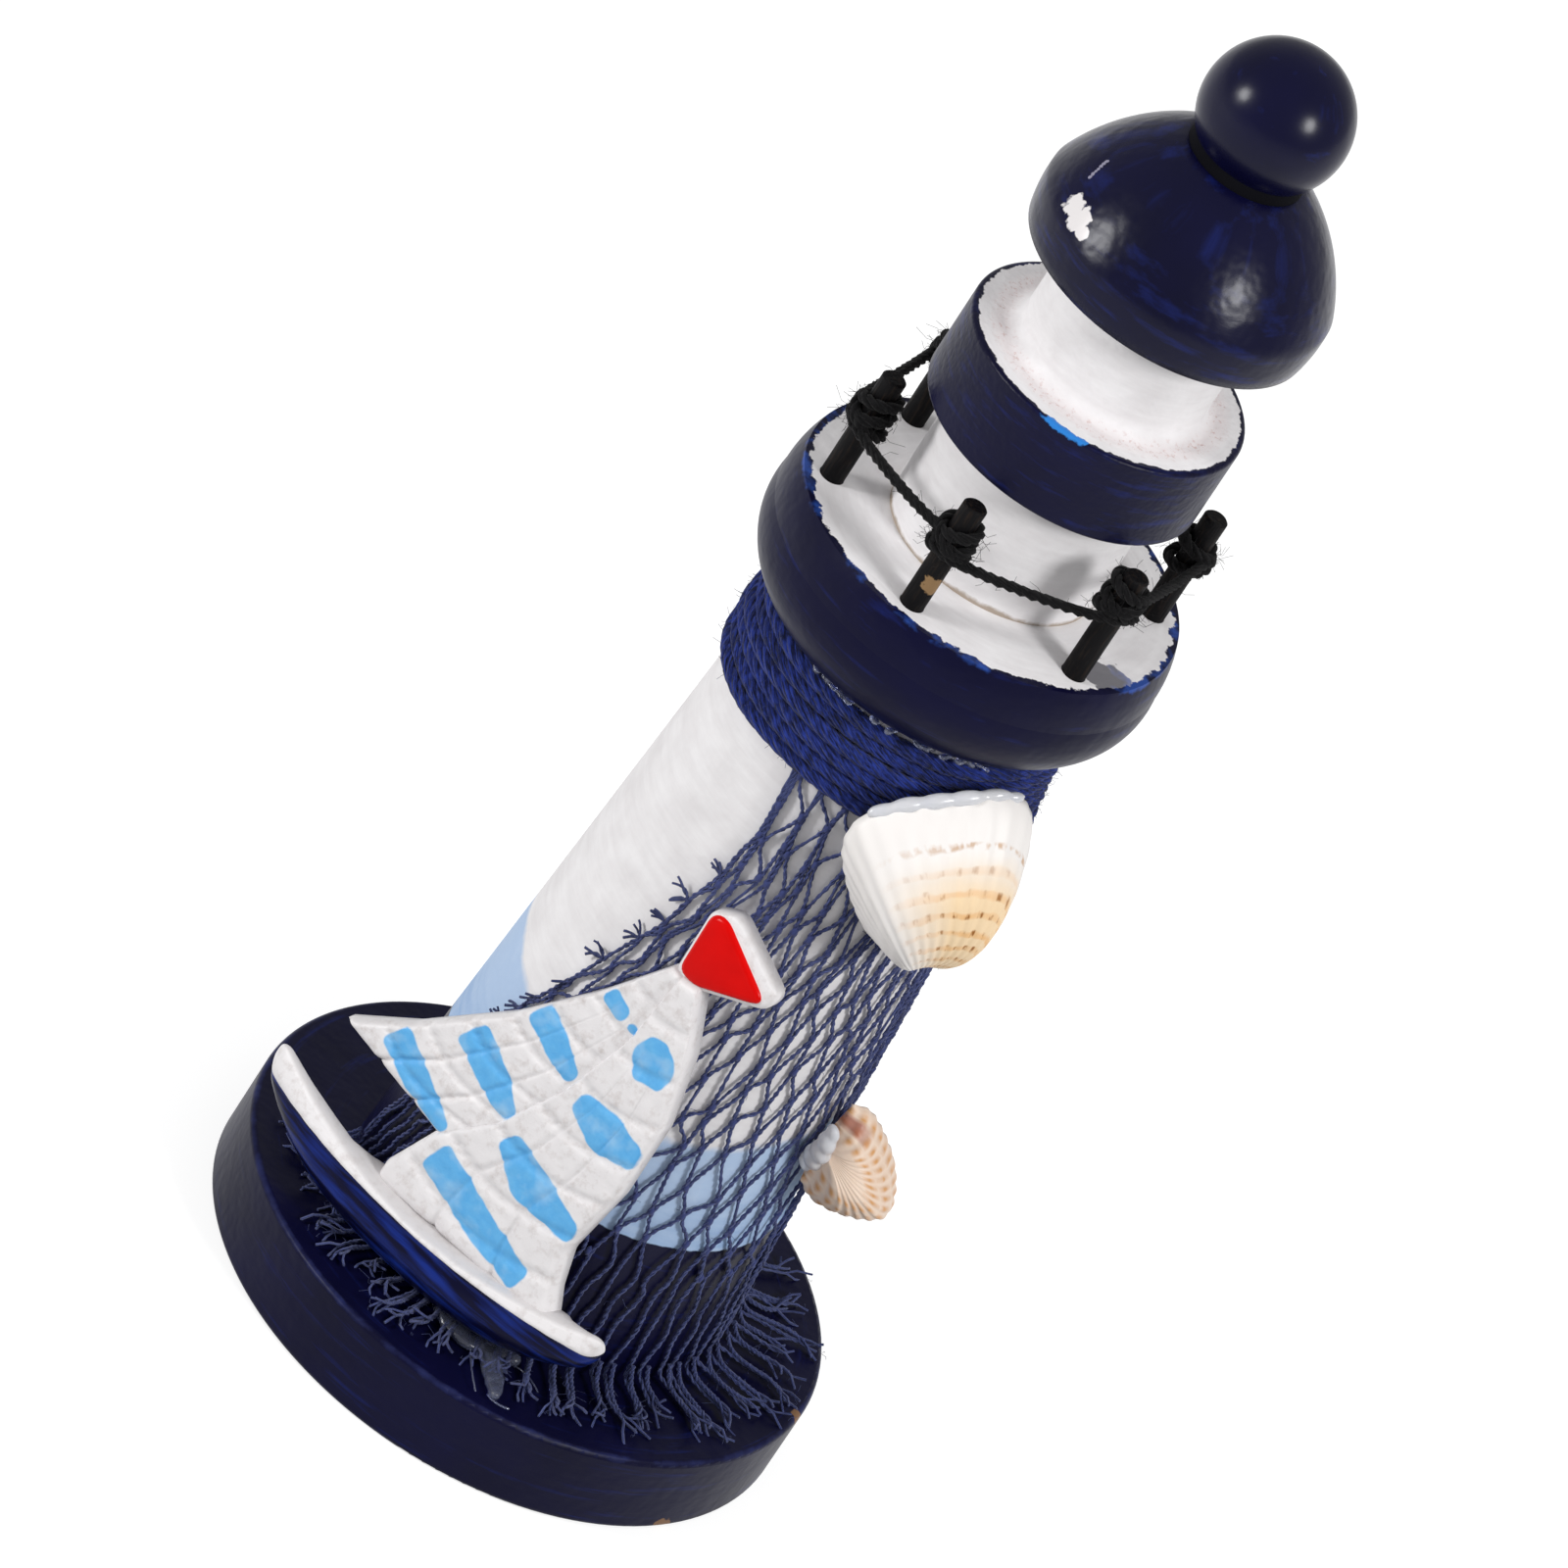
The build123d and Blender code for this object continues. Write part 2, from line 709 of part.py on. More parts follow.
for label, (rim, length, width, depth, bearing, pad) in shells.items():
    with BuildPart() as shell:
        for share in valve_shares:
            plane, half, rise = valve_section(rim, length, width, depth, share, 0.0)
            with BuildSketch(plane):
                with BuildLine():
                    draw_arch(half, rise)
                make_face()
        loft()
        for share in cavity_shares:
            plane, half, rise = valve_section(rim, length, width, depth, share, shell_wall)
            with BuildSketch(plane):
                with BuildLine():
                    draw_arch(half, rise)
                make_face()
        loft(mode=Mode.SUBTRACT)
    finish(shell, label)
    # Glue fills the hollow of the valve and reaches back to the net
    with BuildPart() as glue:
        for share in glue_shares:
            plane, half, rise = valve_section(rim, length, width, depth, share, shell_wall + glue_room)
            with BuildSketch(plane):
                with BuildLine():
                    draw_arch(half, rise)
                make_face()
        loft()
        with BuildSketch(rim):
            Circle(pad)
        extrude(amount=-(pad + glue_room))
        pad_centre = rim.from_local_coords((0, 0, -(pad + glue_room)))
        with BuildSketch(Plane(origin=pad_centre, z_dir=-outward(bearing))):
            Circle(pad)
        extrude(amount=glue_reach)
        with BuildSketch(Plane.XZ):
            collar_reach = tower_radius(collar_bottom) + collar_seat + collar_diameter + glue_room
            Polygon(
                (0, base_height),
                (tower_foot_radius + net_outer + glue_room, base_height),
                (tower_radius(glue_wrap) + net_outer + glue_room, glue_wrap),
                (collar_reach, glue_wrap),
                (collar_reach, tower_top),
                (0, tower_top),
                align=None,
            )
        revolve(axis=Axis.Z, mode=Mode.SUBTRACT)
    finish(glue, f"{label}_glue")

# Bead of glue under the hull
with BuildPart() as boat_glue:
    bead_foot = fringe_top + glue_room
    bead_plane = Plane(
        origin=around(boat_bearing, tower_foot_radius + boat_stand, bead_foot),
        x_dir=outward(boat_bearing),
        z_dir=boat_way,
    )
    with BuildSketch(bead_plane.offset(-bead_length / 2)):
        Polygon(
            (0, 0),
            (bead_depth, 0),
            (bead_depth, -bead_height),
            (bead_depth / 2, -bead_height / 2),
            (0, -bead_height / 3),
            align=None,
        )
    extrude(amount=bead_length)
finish(boat_glue, "boat_glue")
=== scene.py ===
import math
import random

import bmesh
import bpy
from mathutils import Matrix, Vector, noise


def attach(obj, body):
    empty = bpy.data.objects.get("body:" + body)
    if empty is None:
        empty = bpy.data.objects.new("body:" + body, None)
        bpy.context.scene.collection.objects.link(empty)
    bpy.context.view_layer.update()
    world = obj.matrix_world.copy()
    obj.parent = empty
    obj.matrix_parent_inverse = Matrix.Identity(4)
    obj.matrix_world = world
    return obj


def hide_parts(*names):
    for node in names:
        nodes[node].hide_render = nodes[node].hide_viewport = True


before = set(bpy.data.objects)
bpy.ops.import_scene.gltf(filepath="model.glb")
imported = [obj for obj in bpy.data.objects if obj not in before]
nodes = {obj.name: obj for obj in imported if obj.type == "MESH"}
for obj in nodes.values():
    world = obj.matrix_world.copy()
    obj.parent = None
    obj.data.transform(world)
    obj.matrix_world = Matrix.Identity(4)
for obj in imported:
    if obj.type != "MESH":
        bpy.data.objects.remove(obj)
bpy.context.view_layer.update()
mm = 0.001

# Base disc
# A turned wooden foot, brushed with navy paint. The paint is thin where the brush dragged, its
# edges are rubbed to a paler blue, with a painted highlight along the top rim, and small knocks
# show the bare wood.


def linear(code):
    """Linear colour of an sRGB hex code."""
    steps = [int(code[start:start + 2], 16) / 255 for start in (1, 3, 5)]
    return tuple(s / 12.92 if s <= 0.04045 else ((s + 0.055) / 1.055) ** 2.4 for s in steps) + (1.0,)


def feed(tree, node, inputs):
    """Sets a node's inputs, by number or name, each from a value, an output or another node."""
    # A node such as Mix has sockets for every kind of value, so only those in use count
    in_use = [socket for socket in node.inputs if socket.enabled]
    sockets = {**dict(enumerate(in_use)), **{socket.name: socket for socket in in_use}}
    for key, value in inputs.items():
        if isinstance(value, bpy.types.Node):
            value = next(output for output in value.outputs if output.enabled)
        if isinstance(value, bpy.types.NodeSocket):
            tree.links.new(value, sockets[key])
        else:
            sockets[key].default_value = value


def add(tree, kind, inputs, **settings):
    """Adds one node with its settings and inputs."""
    made = tree.nodes.new("ShaderNode" + kind)
    for name, value in settings.items():
        setattr(made, name, value)
    feed(tree, made, inputs)
    return made


def new_finish(name, constants):
    """Material named for its finish, with its tree and its shader."""
    material = bpy.data.materials.new(name)
    material.use_nodes = True
    shader = material.node_tree.nodes["Principled BSDF"]
    feed(material.node_tree, shader, constants)
    return material, material.node_tree, shader


def measured(tree):
    """Place on a piece in millimetres. A pattern's scale is then a count of its marks over a length."""
    spot = add(tree, "TexCoord", {}).outputs["Object"]
    return add(tree, "VectorMath", {0: spot, "Scale": 1000.0}, operation="SCALE")


def turned(tree):
    """Place in millimetres, radius, height, and brush lines that run round a turned piece."""
    place = measured(tree)
    level = add(tree, "VectorMath", {0: place, 1: (1.0, 1.0, 0.0)}, operation="MULTIPLY")
    radius = add(tree, "VectorMath", {0: level}, operation="LENGTH").outputs["Value"]
    height = add(tree, "SeparateXYZ", {0: place}).outputs["Z"]
    way = add(tree, "VectorMath", {0: level}, operation="NORMALIZE")
    reach = add(tree, "Math", {0: radius, 1: height}, operation="ADD")
    rise = add(tree, "CombineXYZ", {"Z": reach})
    track = add(tree, "VectorMath", {0: way, 1: (2.0, 2.0, 2.0), 2: rise}, operation="MULTIPLY_ADD")
    lines = add(tree, "TexNoise", {"Vector": track, "Scale": 11 / 10, "Detail": 5.0, "Roughness": 0.6})
    return place, radius, height, lines


def navy_coat(tree, place, lines, thin_from=0.58):
    """Colour of navy brush paint, nearly black where it is thick and royal blue where it is thin."""
    cloud = add(tree, "TexNoise", {"Vector": place, "Scale": 12 / 100, "Detail": 3.0})
    darkest, dark = linear("#06061c"), linear("#0d0d33")
    thick = add(tree, "Mix", {"Factor": cloud, "A": darkest, "B": dark}, data_type="RGBA")
    reach = {"From Min": thin_from, "From Max": thin_from + 0.24, "To Max": 0.55}
    thin = add(tree, "MapRange", {"Value": lines, **reach})
    return add(tree, "Mix", {"Factor": thin, "A": thick, "B": linear("#1c2c78")}, data_type="RGBA")


def ragged(tree, value, edge, width, place, wobble, grain):
    """Mask that is 1 where a value passes an edge, with the wobble of a line painted by hand."""
    drift = add(tree, "TexNoise", {"Vector": place, "Scale": 1 / grain, "Detail": 4.0, "Roughness": 0.6})
    shift = add(tree, "Math", {0: drift, 1: 4 * wobble, 2: -2 * wobble}, operation="MULTIPLY_ADD")
    moved = add(tree, "Math", {0: value, 1: shift}, operation="ADD")
    return add(
        tree, "MapRange", {"Value": moved, "From Min": edge - width / 2, "From Max": edge + width / 2}
    )


def knock(tree, place, centre, size, grain):
    """Mask of a ragged chip in the paint round a point in millimetres."""
    drift = add(tree, "TexNoise", {"Vector": place, "Scale": 1 / grain, "Detail": 3.0}).outputs["Color"]
    swing = (1.6 * size, 1.6 * size, 1.6 * size)
    moved = add(tree, "VectorMath", {0: drift, 1: swing, 2: place}, operation="MULTIPLY_ADD")
    middle = tuple(c + 0.8 * size for c in centre)
    away = add(tree, "VectorMath", {0: moved, 1: middle}, operation="DISTANCE").outputs["Value"]
    return add(tree, "MapRange", {"Value": away, "From Min": 1.02 * size, "From Max": 0.9 * size})


def brush_relief(tree, shader, place, lines, depth, lump, facing=None):
    """Relief of dried brush lines and of lumps in the paint, by depth and lump size in millimetres."""
    lumps = add(tree, "TexNoise", {"Vector": place, "Scale": 1 / lump, "Detail": 1.0})
    both = add(tree, "Math", {0: lines, 1: 0.35, 2: lumps}, operation="MULTIPLY_ADD")
    bump = add(tree, "Bump", {"Strength": 0.6, "Distance": depth * mm, "Height": both})
    if facing is not None:
        feed(tree, bump, {"Normal": facing})
    feed(tree, shader, {"Normal": bump})


def dress(name, material):
    """Gives a node of the frame its finish."""
    nodes[name].material_slots[0].material = material


# Brush paint dries satin, and its dried lines and lumps break up the light that it throws back
SATIN = {"Roughness": 0.38, "IOR": 1.5, "Specular IOR Level": 0.1}
# Radius and height together, in millimetres, beyond which the rim is rubbed and a highlight is painted along
# it
RIM_LINE_REACH = 38.45
material, tree, shader = new_finish("navy brush paint on the base", SATIN)
place, radius, height, lines = turned(tree)
colour = navy_coat(tree, place, lines)
corner = add(tree, "Math", {0: radius, 1: height}, operation="ADD")
rim = ragged(tree, corner, RIM_LINE_REACH, width=0.3, place=place, wobble=0.2, grain=2.5)
# The pale line along the top rim is partly wear and partly a painted highlight
rim_wear_and_highlight = add(tree, "Math", {0: rim, 1: 0.35}, operation="MULTIPLY")
colour = add(tree, "Mix", {"Factor": rim_wear_and_highlight, "A": colour, "B": linear("#39427c")}, data_type="RGBA")
for centre, size in (((29.7, -2.1, 8.5), 0.8), ((24.7, -17.3, 0.2), 1.1)):
    bare = knock(tree, place, centre, size, grain=1.5)
    colour = add(tree, "Mix", {"Factor": bare, "A": colour, "B": linear("#806046")}, data_type="RGBA")
feed(tree, shader, {"Base Color": colour})
brush_relief(tree, shader, place, lines, depth=0.12, lump=1.6)
dress("base_disc", material)

# Pegs
# Plain birch dowels that hold the stack together. They are glued into blind holes and show only
# where the piece is taken apart, so they keep the pale colour and the fine grain of bare wood.
material, tree, shader = new_finish("bare birch dowel", {"Roughness": 0.6})
grain_place = add(tree, "Mapping", {0: measured(tree), "Scale": (9 / 10, 9 / 10, 6 / 100)})
grain = add(tree, "TexNoise", {"Vector": grain_place, "Scale": 1.0, "Detail": 4.0})
colour = add(tree, "Mix", {"Factor": grain, "A": linear("#c9a878"), "B": linear("#a9834f")}, data_type="RGBA")
feed(tree, shader, {"Base Color": colour})
for name in ("base_dowel", "gallery_dowel", "lantern_dowel"):
    dress(name, material)

# Tower
# A plain turned cone. White matte paint covers it, a light-blue wash with a wavy edge lies over
# the lower third, and the navy of the base is carried up over its foot to a level line.


def white_coat(tree, place, lines):
    """Colour of white brush paint, a little grey where the wood shows through."""
    cloud = add(tree, "TexNoise", {"Vector": place, "Scale": 25 / 100, "Detail": 5.0})
    both = add(tree, "Math", {0: cloud, 1: lines}, operation="ADD")
    share = add(tree, "MapRange", {"Value": both, "From Min": 0.75, "From Max": 1.25})
    greyish, clean = linear("#e3e0e1"), linear("#efedee")
    return add(tree, "Mix", {"Factor": share, "A": greyish, "B": clean}, data_type="RGBA")


# Levels of the navy's top and of the wash's edge, the climb of that edge towards the sides, and the
# depth over which the wash darkens, in millimetres
NAVY_LINE = 24.9
WASH_LINE = 35.6
WASH_CLIMB = 4.2
WASH_DEPTH = 14.0
# White craft paint dries matte, so it is evenly pale and shows hardly any highlight
MATTE = {"Roughness": 0.62, "IOR": 1.48, "Specular IOR Level": 0.15}
material, tree, shader = new_finish("white, light-blue and navy brush paint on the tower", MATTE)
place, radius, height, lines = turned(tree)
colour = white_coat(tree, place, lines)
across = add(tree, "SeparateXYZ", {0: place}).outputs["X"]
sideways = add(tree, "Math", {0: across, 1: radius}, operation="DIVIDE")
squared = add(tree, "Math", {0: sideways, 1: sideways}, operation="MULTIPLY")
below = add(tree, "Math", {0: squared, 1: WASH_CLIMB, 2: WASH_LINE}, operation="MULTIPLY_ADD")
depth = add(tree, "Math", {0: below, 1: height}, operation="SUBTRACT")
wash_share = add(tree, "MapRange", {"Value": depth, "From Min": 0.0, "From Max": WASH_DEPTH})
streak = add(tree, "Math", {0: wash_share, 1: lines, 2: -0.2}, operation="MULTIPLY_ADD")
wash = add(tree, "Mix", {"Factor": streak, "A": linear("#b3c9e6"), "B": linear("#5f93cc")}, data_type="RGBA")
mottle = add(tree, "TexNoise", {"Vector": place, "Scale": 5 / 10, "Detail": 6.0, "Roughness": 0.7})
pale = add(tree, "MapRange", {"Value": mottle, "From Min": 0.5, "From Max": 0.75, "To Max": 0.5})
wash = add(tree, "Mix", {"Factor": pale, "A": wash, "B": linear("#c4d5ec")}, data_type="RGBA")
wash_part = ragged(tree, depth, edge=0.0, width=0.9, place=place, wobble=0.7, grain=6.0)
colour = add(tree, "Mix", {"Factor": wash_part, "A": colour, "B": wash}, data_type="RGBA")
lower = add(tree, "Math", {0: NAVY_LINE, 1: height}, operation="SUBTRACT")
navy_part = ragged(tree, lower, edge=0.0, width=0.15, place=place, wobble=0.12, grain=1.5)
navy = navy_coat(tree, place, lines)
colour = add(tree, "Mix", {"Factor": navy_part, "A": colour, "B": navy}, data_type="RGBA")
feed(tree, shader, {"Base Color": colour})
shine = add(tree, "MapRange", {"Value": navy_part, "To Min": 0.62, "To Max": 0.38})
feed(tree, shader, {"Roughness": shine})
brush_relief(tree, shader, place, lines, depth=0.08, lump=1.0)
dress("tower", material)

# Gallery
# A turned balcony with a round belly. The belly is navy, the floor is white, and the two paints
# meet in a ragged line just inside the rim, with smears where the brush slipped.
FLOOR_LEVEL = 98.4
FLOOR_EDGE = 18.55
material, tree, shader = new_finish("navy and white brush paint on the gallery", SATIN)
place, radius, height, lines = turned(tree)
on_floor = add(tree, "Math", {0: height, 1: FLOOR_LEVEL - 0.12}, operation="GREATER_THAN")
inside = add(tree, "Math", {0: FLOOR_EDGE, 1: radius}, operation="SUBTRACT")
floor_part = ragged(tree, inside, edge=0.0, width=0.12, place=place, wobble=0.6, grain=1.8)
floor_part = add(tree, "Math", {0: floor_part, 1: on_floor}, operation="MULTIPLY")
smear = knock(tree, place, (15.6, -8.4, 98.4), size=2.6, grain=1.1)
keep = add(tree, "Math", {0: smear, 1: -0.75, 2: 1.0}, operation="MULTIPLY_ADD")
floor_part = add(tree, "Math", {0: floor_part, 1: keep}, operation="MULTIPLY")
colour = navy_coat(tree, place, lines)
edge = ragged(tree, height, FLOOR_LEVEL - 0.2, width=0.3, place=place, wobble=0.3, grain=1.8)
patches = add(tree, "TexNoise", {"Vector": place, "Scale": 35 / 100, "Detail": 4.0})
patches = add(tree, "MapRange", {"Value": patches, "From Min": 0.5, "From Max": 0.62})
edge_wear = add(tree, "Math", {0: edge, 1: patches}, operation="MULTIPLY")
colour = add(tree, "Mix", {"Factor": edge_wear, "A": colour, "B": linear("#2a4a98")}, data_type="RGBA")
white = white_coat(tree, place, lines)
colour = add(tree, "Mix", {"Factor": floor_part, "A": colour, "B": white}, data_type="RGBA")
feed(tree, shader, {"Base Color": colour})
shine = add(tree, "MapRange", {"Value": floor_part, "To Min": 0.36, "To Max": 0.62})
feed(tree, shader, {"Roughness": shine})
brush_relief(tree, shader, place, lines, depth=0.12, lump=1.6)
dress("gallery", material)

# Lantern room
# A white turned cylinder glued to the gallery floor. A brown crease of glue and dust runs round
# its foot.
material, tree, shader = new_finish("white brush paint on the lantern room", MATTE)
place, radius, height, lines = turned(tree)
colour = white_coat(tree, place, lines)
crease_depth = add(tree, "Math", {0: FLOOR_LEVEL + 0.35, 1: height}, operation="SUBTRACT")
crease = ragged(tree, crease_depth, edge=0.0, width=0.4, place=place, wobble=0.35, grain=2.0)
crease = add(tree, "Math", {0: crease, 1: 0.75}, operation="MULTIPLY")
colour = add(tree, "Mix", {"Factor": crease, "A": colour, "B": linear("#8a7355")}, data_type="RGBA")
feed(tree, shader, {"Base Color": colour})
brush_relief(tree, shader, place, lines, depth=0.1, lump=1.0)
dress("lantern_wall", material)

# Lantern head
# A drum turned in one with the neck above it. The drum's side is navy, its top and the neck are
# white over open, pinkish grain, and the white runs out in ragged teeth at the drum's edge.


def near(tree, value, middle, far, close, most=1.0):
    """Mask that is full while a value is close to a middle, and gone where it is far from it."""
    gap = add(tree, "Math", {0: value, 1: middle}, operation="SUBTRACT")
    gap = add(tree, "Math", {0: gap}, operation="ABSOLUTE")
    return add(tree, "MapRange", {"Value": gap, "From Min": far, "From Max": close, "To Max": most})


DRUM_TOP = 120.7
DRUM_EDGE = 13.3
OPEN_GRAIN_RADIUS = 11.0
material, tree, shader = new_finish("navy and white brush paint on the lantern head", MATTE)
place, radius, height, lines = turned(tree)
upper = add(tree, "Math", {0: height, 1: DRUM_TOP - 0.2}, operation="GREATER_THAN")
inside = add(tree, "Math", {0: DRUM_EDGE, 1: radius}, operation="SUBTRACT")
white_part = ragged(tree, inside, edge=0.0, width=0.1, place=place, wobble=0.3, grain=1.2)
white_part = add(tree, "Math", {0: white_part, 1: upper}, operation="MULTIPLY")
white = white_coat(tree, place, lines)
pits = add(tree, "TexNoise", {"Vector": place, "Scale": 22 / 10, "Detail": 3.0, "Roughness": 0.7})
pit = add(tree, "MapRange", {"Value": pits, "From Min": 0.56, "From Max": 0.68})
open_grain = near(tree, radius, OPEN_GRAIN_RADIUS, far=1.4, close=0.4, most=0.7)
pit = add(tree, "Math", {0: pit, 1: open_grain}, operation="MULTIPLY")
white = add(tree, "Mix", {"Factor": pit, "A": white, "B": linear("#c39a92")}, data_type="RGBA")
# The pink blush round the foot of the neck is partly open grain and partly painted shade in the crease
blush = add(tree, "Math", {0: open_grain, 1: 0.3}, operation="MULTIPLY")
white = add(tree, "Mix", {"Factor": blush, "A": white, "B": linear("#e6cfcd")}, data_type="RGBA")
navy = navy_coat(tree, place, lines, thin_from=0.53)
slip = knock(tree, place, (-0.6, -13.7, 120.6), size=2.6, grain=1.6)
lip = ragged(tree, height, DRUM_TOP - 0.32, width=0.2, place=place, wobble=0.3, grain=1.0)
slip = add(tree, "Math", {0: slip, 1: lip}, operation="MULTIPLY")
navy = add(tree, "Mix", {"Factor": slip, "A": navy, "B": linear("#2f7fd0")}, data_type="RGBA")
colour = add(tree, "Mix", {"Factor": white_part, "A": navy, "B": white}, data_type="RGBA")
feed(tree, shader, {"Base Color": colour})
shine = add(tree, "MapRange", {"Value": white_part, "To Min": 0.38, "To Max": 0.62})
feed(tree, shader, {"Roughness": shine})
sunk = add(tree, "Math", {0: lines, 1: pit}, operation="SUBTRACT")
brush_relief(tree, shader, place, sunk, depth=0.12, lump=0.8)
dress("lantern_head", material)

# Roof and ball
# The roof is a turned dome over an upright band, and the ball is turned with its own short neck.
# Both have a thick, shiny coat of navy, with a white chip and a scratch knocked into the roof.

# The thick coat has levelled out before it dried, which gives small, sharp highlights
GLOSSY = {"Roughness": 0.24, "IOR": 1.5, "Specular IOR Level": 0.17}
material, tree, shader = new_finish("thick navy paint on the roof", GLOSSY)
place, radius, height, lines = turned(tree)
colour = navy_coat(tree, place, lines, thin_from=0.52)
SCRATCH_DOTS = 7
roof_chips = (((-10.6, -8.8, 137.6), 1.1), ((-9.4, -10.1, 137.4), 1.25), ((-8.5, -11.0, 136.9), 0.75))
for centre, size in roof_chips:
    chip = knock(tree, place, centre, size, grain=1.3)
    colour = add(tree, "Mix", {"Factor": chip, "A": colour, "B": linear("#e6e2e2")}, data_type="RGBA")
for step in range(SCRATCH_DOTS):
    centre = (-10.7 + 0.08 * step, -6.4 + 0.22 * step, 139.5 + 0.25 * step)
    scratch = knock(tree, place, centre, size=0.24, grain=0.7)
    colour = add(tree, "Mix", {"Factor": scratch, "A": colour, "B": linear("#8f8ca0")}, data_type="RGBA")
feed(tree, shader, {"Base Color": colour})
# Thick paint rounds the edge between the band and the dome
rounded = add(tree, "Bevel", {"Radius": 1.5 * mm}, samples=6)
brush_relief(tree, shader, place, lines, depth=0.12, lump=1.6, facing=rounded)
dress("roof_cap", material)

material, tree, shader = new_finish("thick navy paint on the ball", GLOSSY)
place, radius, height, lines = turned(tree)
# Painted shade: the neck, in the crevice where the ball meets the roof, is painted nearly black, and its
# paint is made fully rough
NECK_TOP = 147.1
shaded_neck = add(tree, "Math", {0: height, 1: NECK_TOP}, operation="LESS_THAN")
navy = navy_coat(tree, place, lines, thin_from=0.64)
colour = add(tree, "Mix", {"Factor": shaded_neck, "A": navy, "B": linear("#020208")}, data_type="RGBA")
feed(tree, shader, {"Base Color": colour})
dull = add(tree, "MapRange", {"Value": shaded_neck, "To Min": GLOSSY["Roughness"], "To Max": 1.0})
feed(tree, shader, {"Roughness": dull})
brush_relief(tree, shader, place, lines, depth=0.05, lump=2.2)
dress("ball_finial", material)

# Railing posts
# Thin sticks painted black and pushed into holes in the gallery floor. The paint is worn along
# the grain, and one post shows a bare tan spot near its foot.
DULL = {"Roughness": 0.6, "Specular IOR Level": 0.12}
material, tree, shader = new_finish("black paint on a thin stick", DULL)
place = measured(tree)
stretched = add(tree, "Mapping", {0: place, "Scale": (30 / 10, 30 / 10, 35 / 100)})
fibre = add(tree, "TexNoise", {"Vector": stretched, "Scale": 1.0, "Detail": 4.0})
worn = add(tree, "MapRange", {"Value": fibre, "From Min": 0.52, "From Max": 0.72, "To Max": 0.6})
colour = add(tree, "Mix", {"Factor": worn, "A": linear("#060507"), "B": linear("#2c221b")}, data_type="RGBA")
bare = knock(tree, place, (-2.4, -17.0, 101.6), size=1.0, grain=0.8)
colour = add(tree, "Mix", {"Factor": bare, "A": colour, "B": linear("#8d7150")}, data_type="RGBA")
feed(tree, shader, {"Base Color": colour})
bump = add(tree, "Bump", {"Strength": 0.7, "Distance": 0.15 * mm, "Height": fibre})
feed(tree, shader, {"Normal": bump})
for number in range(1, 7):
    dress(f"rail_post_{number}", material)

# Railing twine
# One length of fuzzy black cotton twine. It is hitched round each post with a few untidy turns
# and drawn, a little slack, to the next.


def around(bearing, distance, level):
    """Point at a bearing from the front, a distance from the axis and a level, all in millimetres."""
    turn = math.radians(bearing)
    return Vector((distance * math.sin(turn), -distance * math.cos(turn), level)) * mm


def smooth_route(points, fineness=5):
    """Points along the smooth spline that a cord takes through its control points."""
    curve = bpy.data.curves.new("route", "CURVE")
    curve.dimensions = "3D"
    curve.resolution_u = fineness
    spline = curve.splines.new("NURBS")
    spline.points.add(len(points) - 1)
    for control, point in zip(spline.points, points):
        control.co = (*point, 1.0)
    spline.order_u = 3
    spline.use_endpoint_u = True
    holder = bpy.data.objects.new("route", curve)
    mesh = bpy.data.meshes.new_from_object(holder)
    route = [vertex.co.copy() for vertex in mesh.vertices]
    bpy.data.objects.remove(holder)
    bpy.data.curves.remove(curve)
    bpy.data.meshes.remove(mesh)
    return route


def twist(route, plies, offset, lay, open_end=0.0):
    """Routes of the plies that twist round a cord's route; over its open end they spread apart."""
    strands = [[] for ply in range(plies)]
    side = (route[1] - route[0]).orthogonal().normalized()
    steps = [0.0] + [(there - here).length for here, there in zip(route, route[1:])]
    whole = sum(steps)
    run = 0.0
    for index, point in enumerate(route):
        run += steps[index]
        ahead = route[min(index + 1, len(route) - 1)] - route[max(index - 1, 0)]
        way = ahead.normalized()
        side = (side - way * side.dot(way)).normalized()
        across = way.cross(side)
        spread = max(0.0, run - (whole - open_end)) if open_end else 0.0
        away = offset + 0.35 * spread
        for ply in range(plies):
            turn = 2 * math.pi * ((run - 0.8 * spread) / lay + ply / plies)
            strands[ply].append(point + (side * math.cos(turn) + across * math.sin(turn)) * away)
    return strands


def fuzz(route, count, length, skin, source):
    """Short loose fibres that stand off a cord, whose skin is a distance from its route."""
    fibres = []
    for fibre in range(count):
        root = source.choice(route)
        way = Vector((source.gauss(0, 1), source.gauss(0, 1), source.gauss(0, 0.8))).normalized()
        bend = Vector((source.gauss(0, 1), source.gauss(0, 1), source.gauss(0, 1))).normalized()
        reach = length * source.uniform(0.4, 1.0)
        start = root + way * skin
        fibres.append([start, start + way * reach * 0.5, start + (way + bend * 0.7) * reach * 0.8])
    return fibres


def strand_mesh(name, strands, radius, fibres=(), fibre_radius=0.0, roundness=1):
    """One mesh of round strands and finer fibres along lists of points."""
    curve = bpy.data.curves.new(name, "CURVE")
    curve.dimensions = "3D"
    curve.bevel_depth = radius
    curve.bevel_resolution = roundness
    curve.use_fill_caps = True
    for group, share in ((strands, 1.0), (fibres, fibre_radius / radius)):
        for points in group:
            spline = curve.splines.new("POLY")
            spline.points.add(len(points) - 1)
            for control, point in zip(spline.points, points):
                control.co = (*point, 1.0)
                control.radius = share
    holder = bpy.data.objects.new(name, curve)
    mesh = bpy.data.meshes.new_from_object(holder)
    bpy.data.objects.remove(holder)
    bpy.data.curves.remove(curve)
    mesh.name = name
    return mesh


def place_piece(name, mesh, materials, slot, *stands_for):
    """Puts a finished mesh in the scene, on the one body, in place of its solids."""
    piece = bpy.data.objects.new(name, mesh)
    bpy.context.scene.collection.objects.link(piece)
    for material in materials:
        mesh.materials.append(material)
    mesh.shade_smooth()
    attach(piece, "root")
    if stands_for:
        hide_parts(*stands_for)


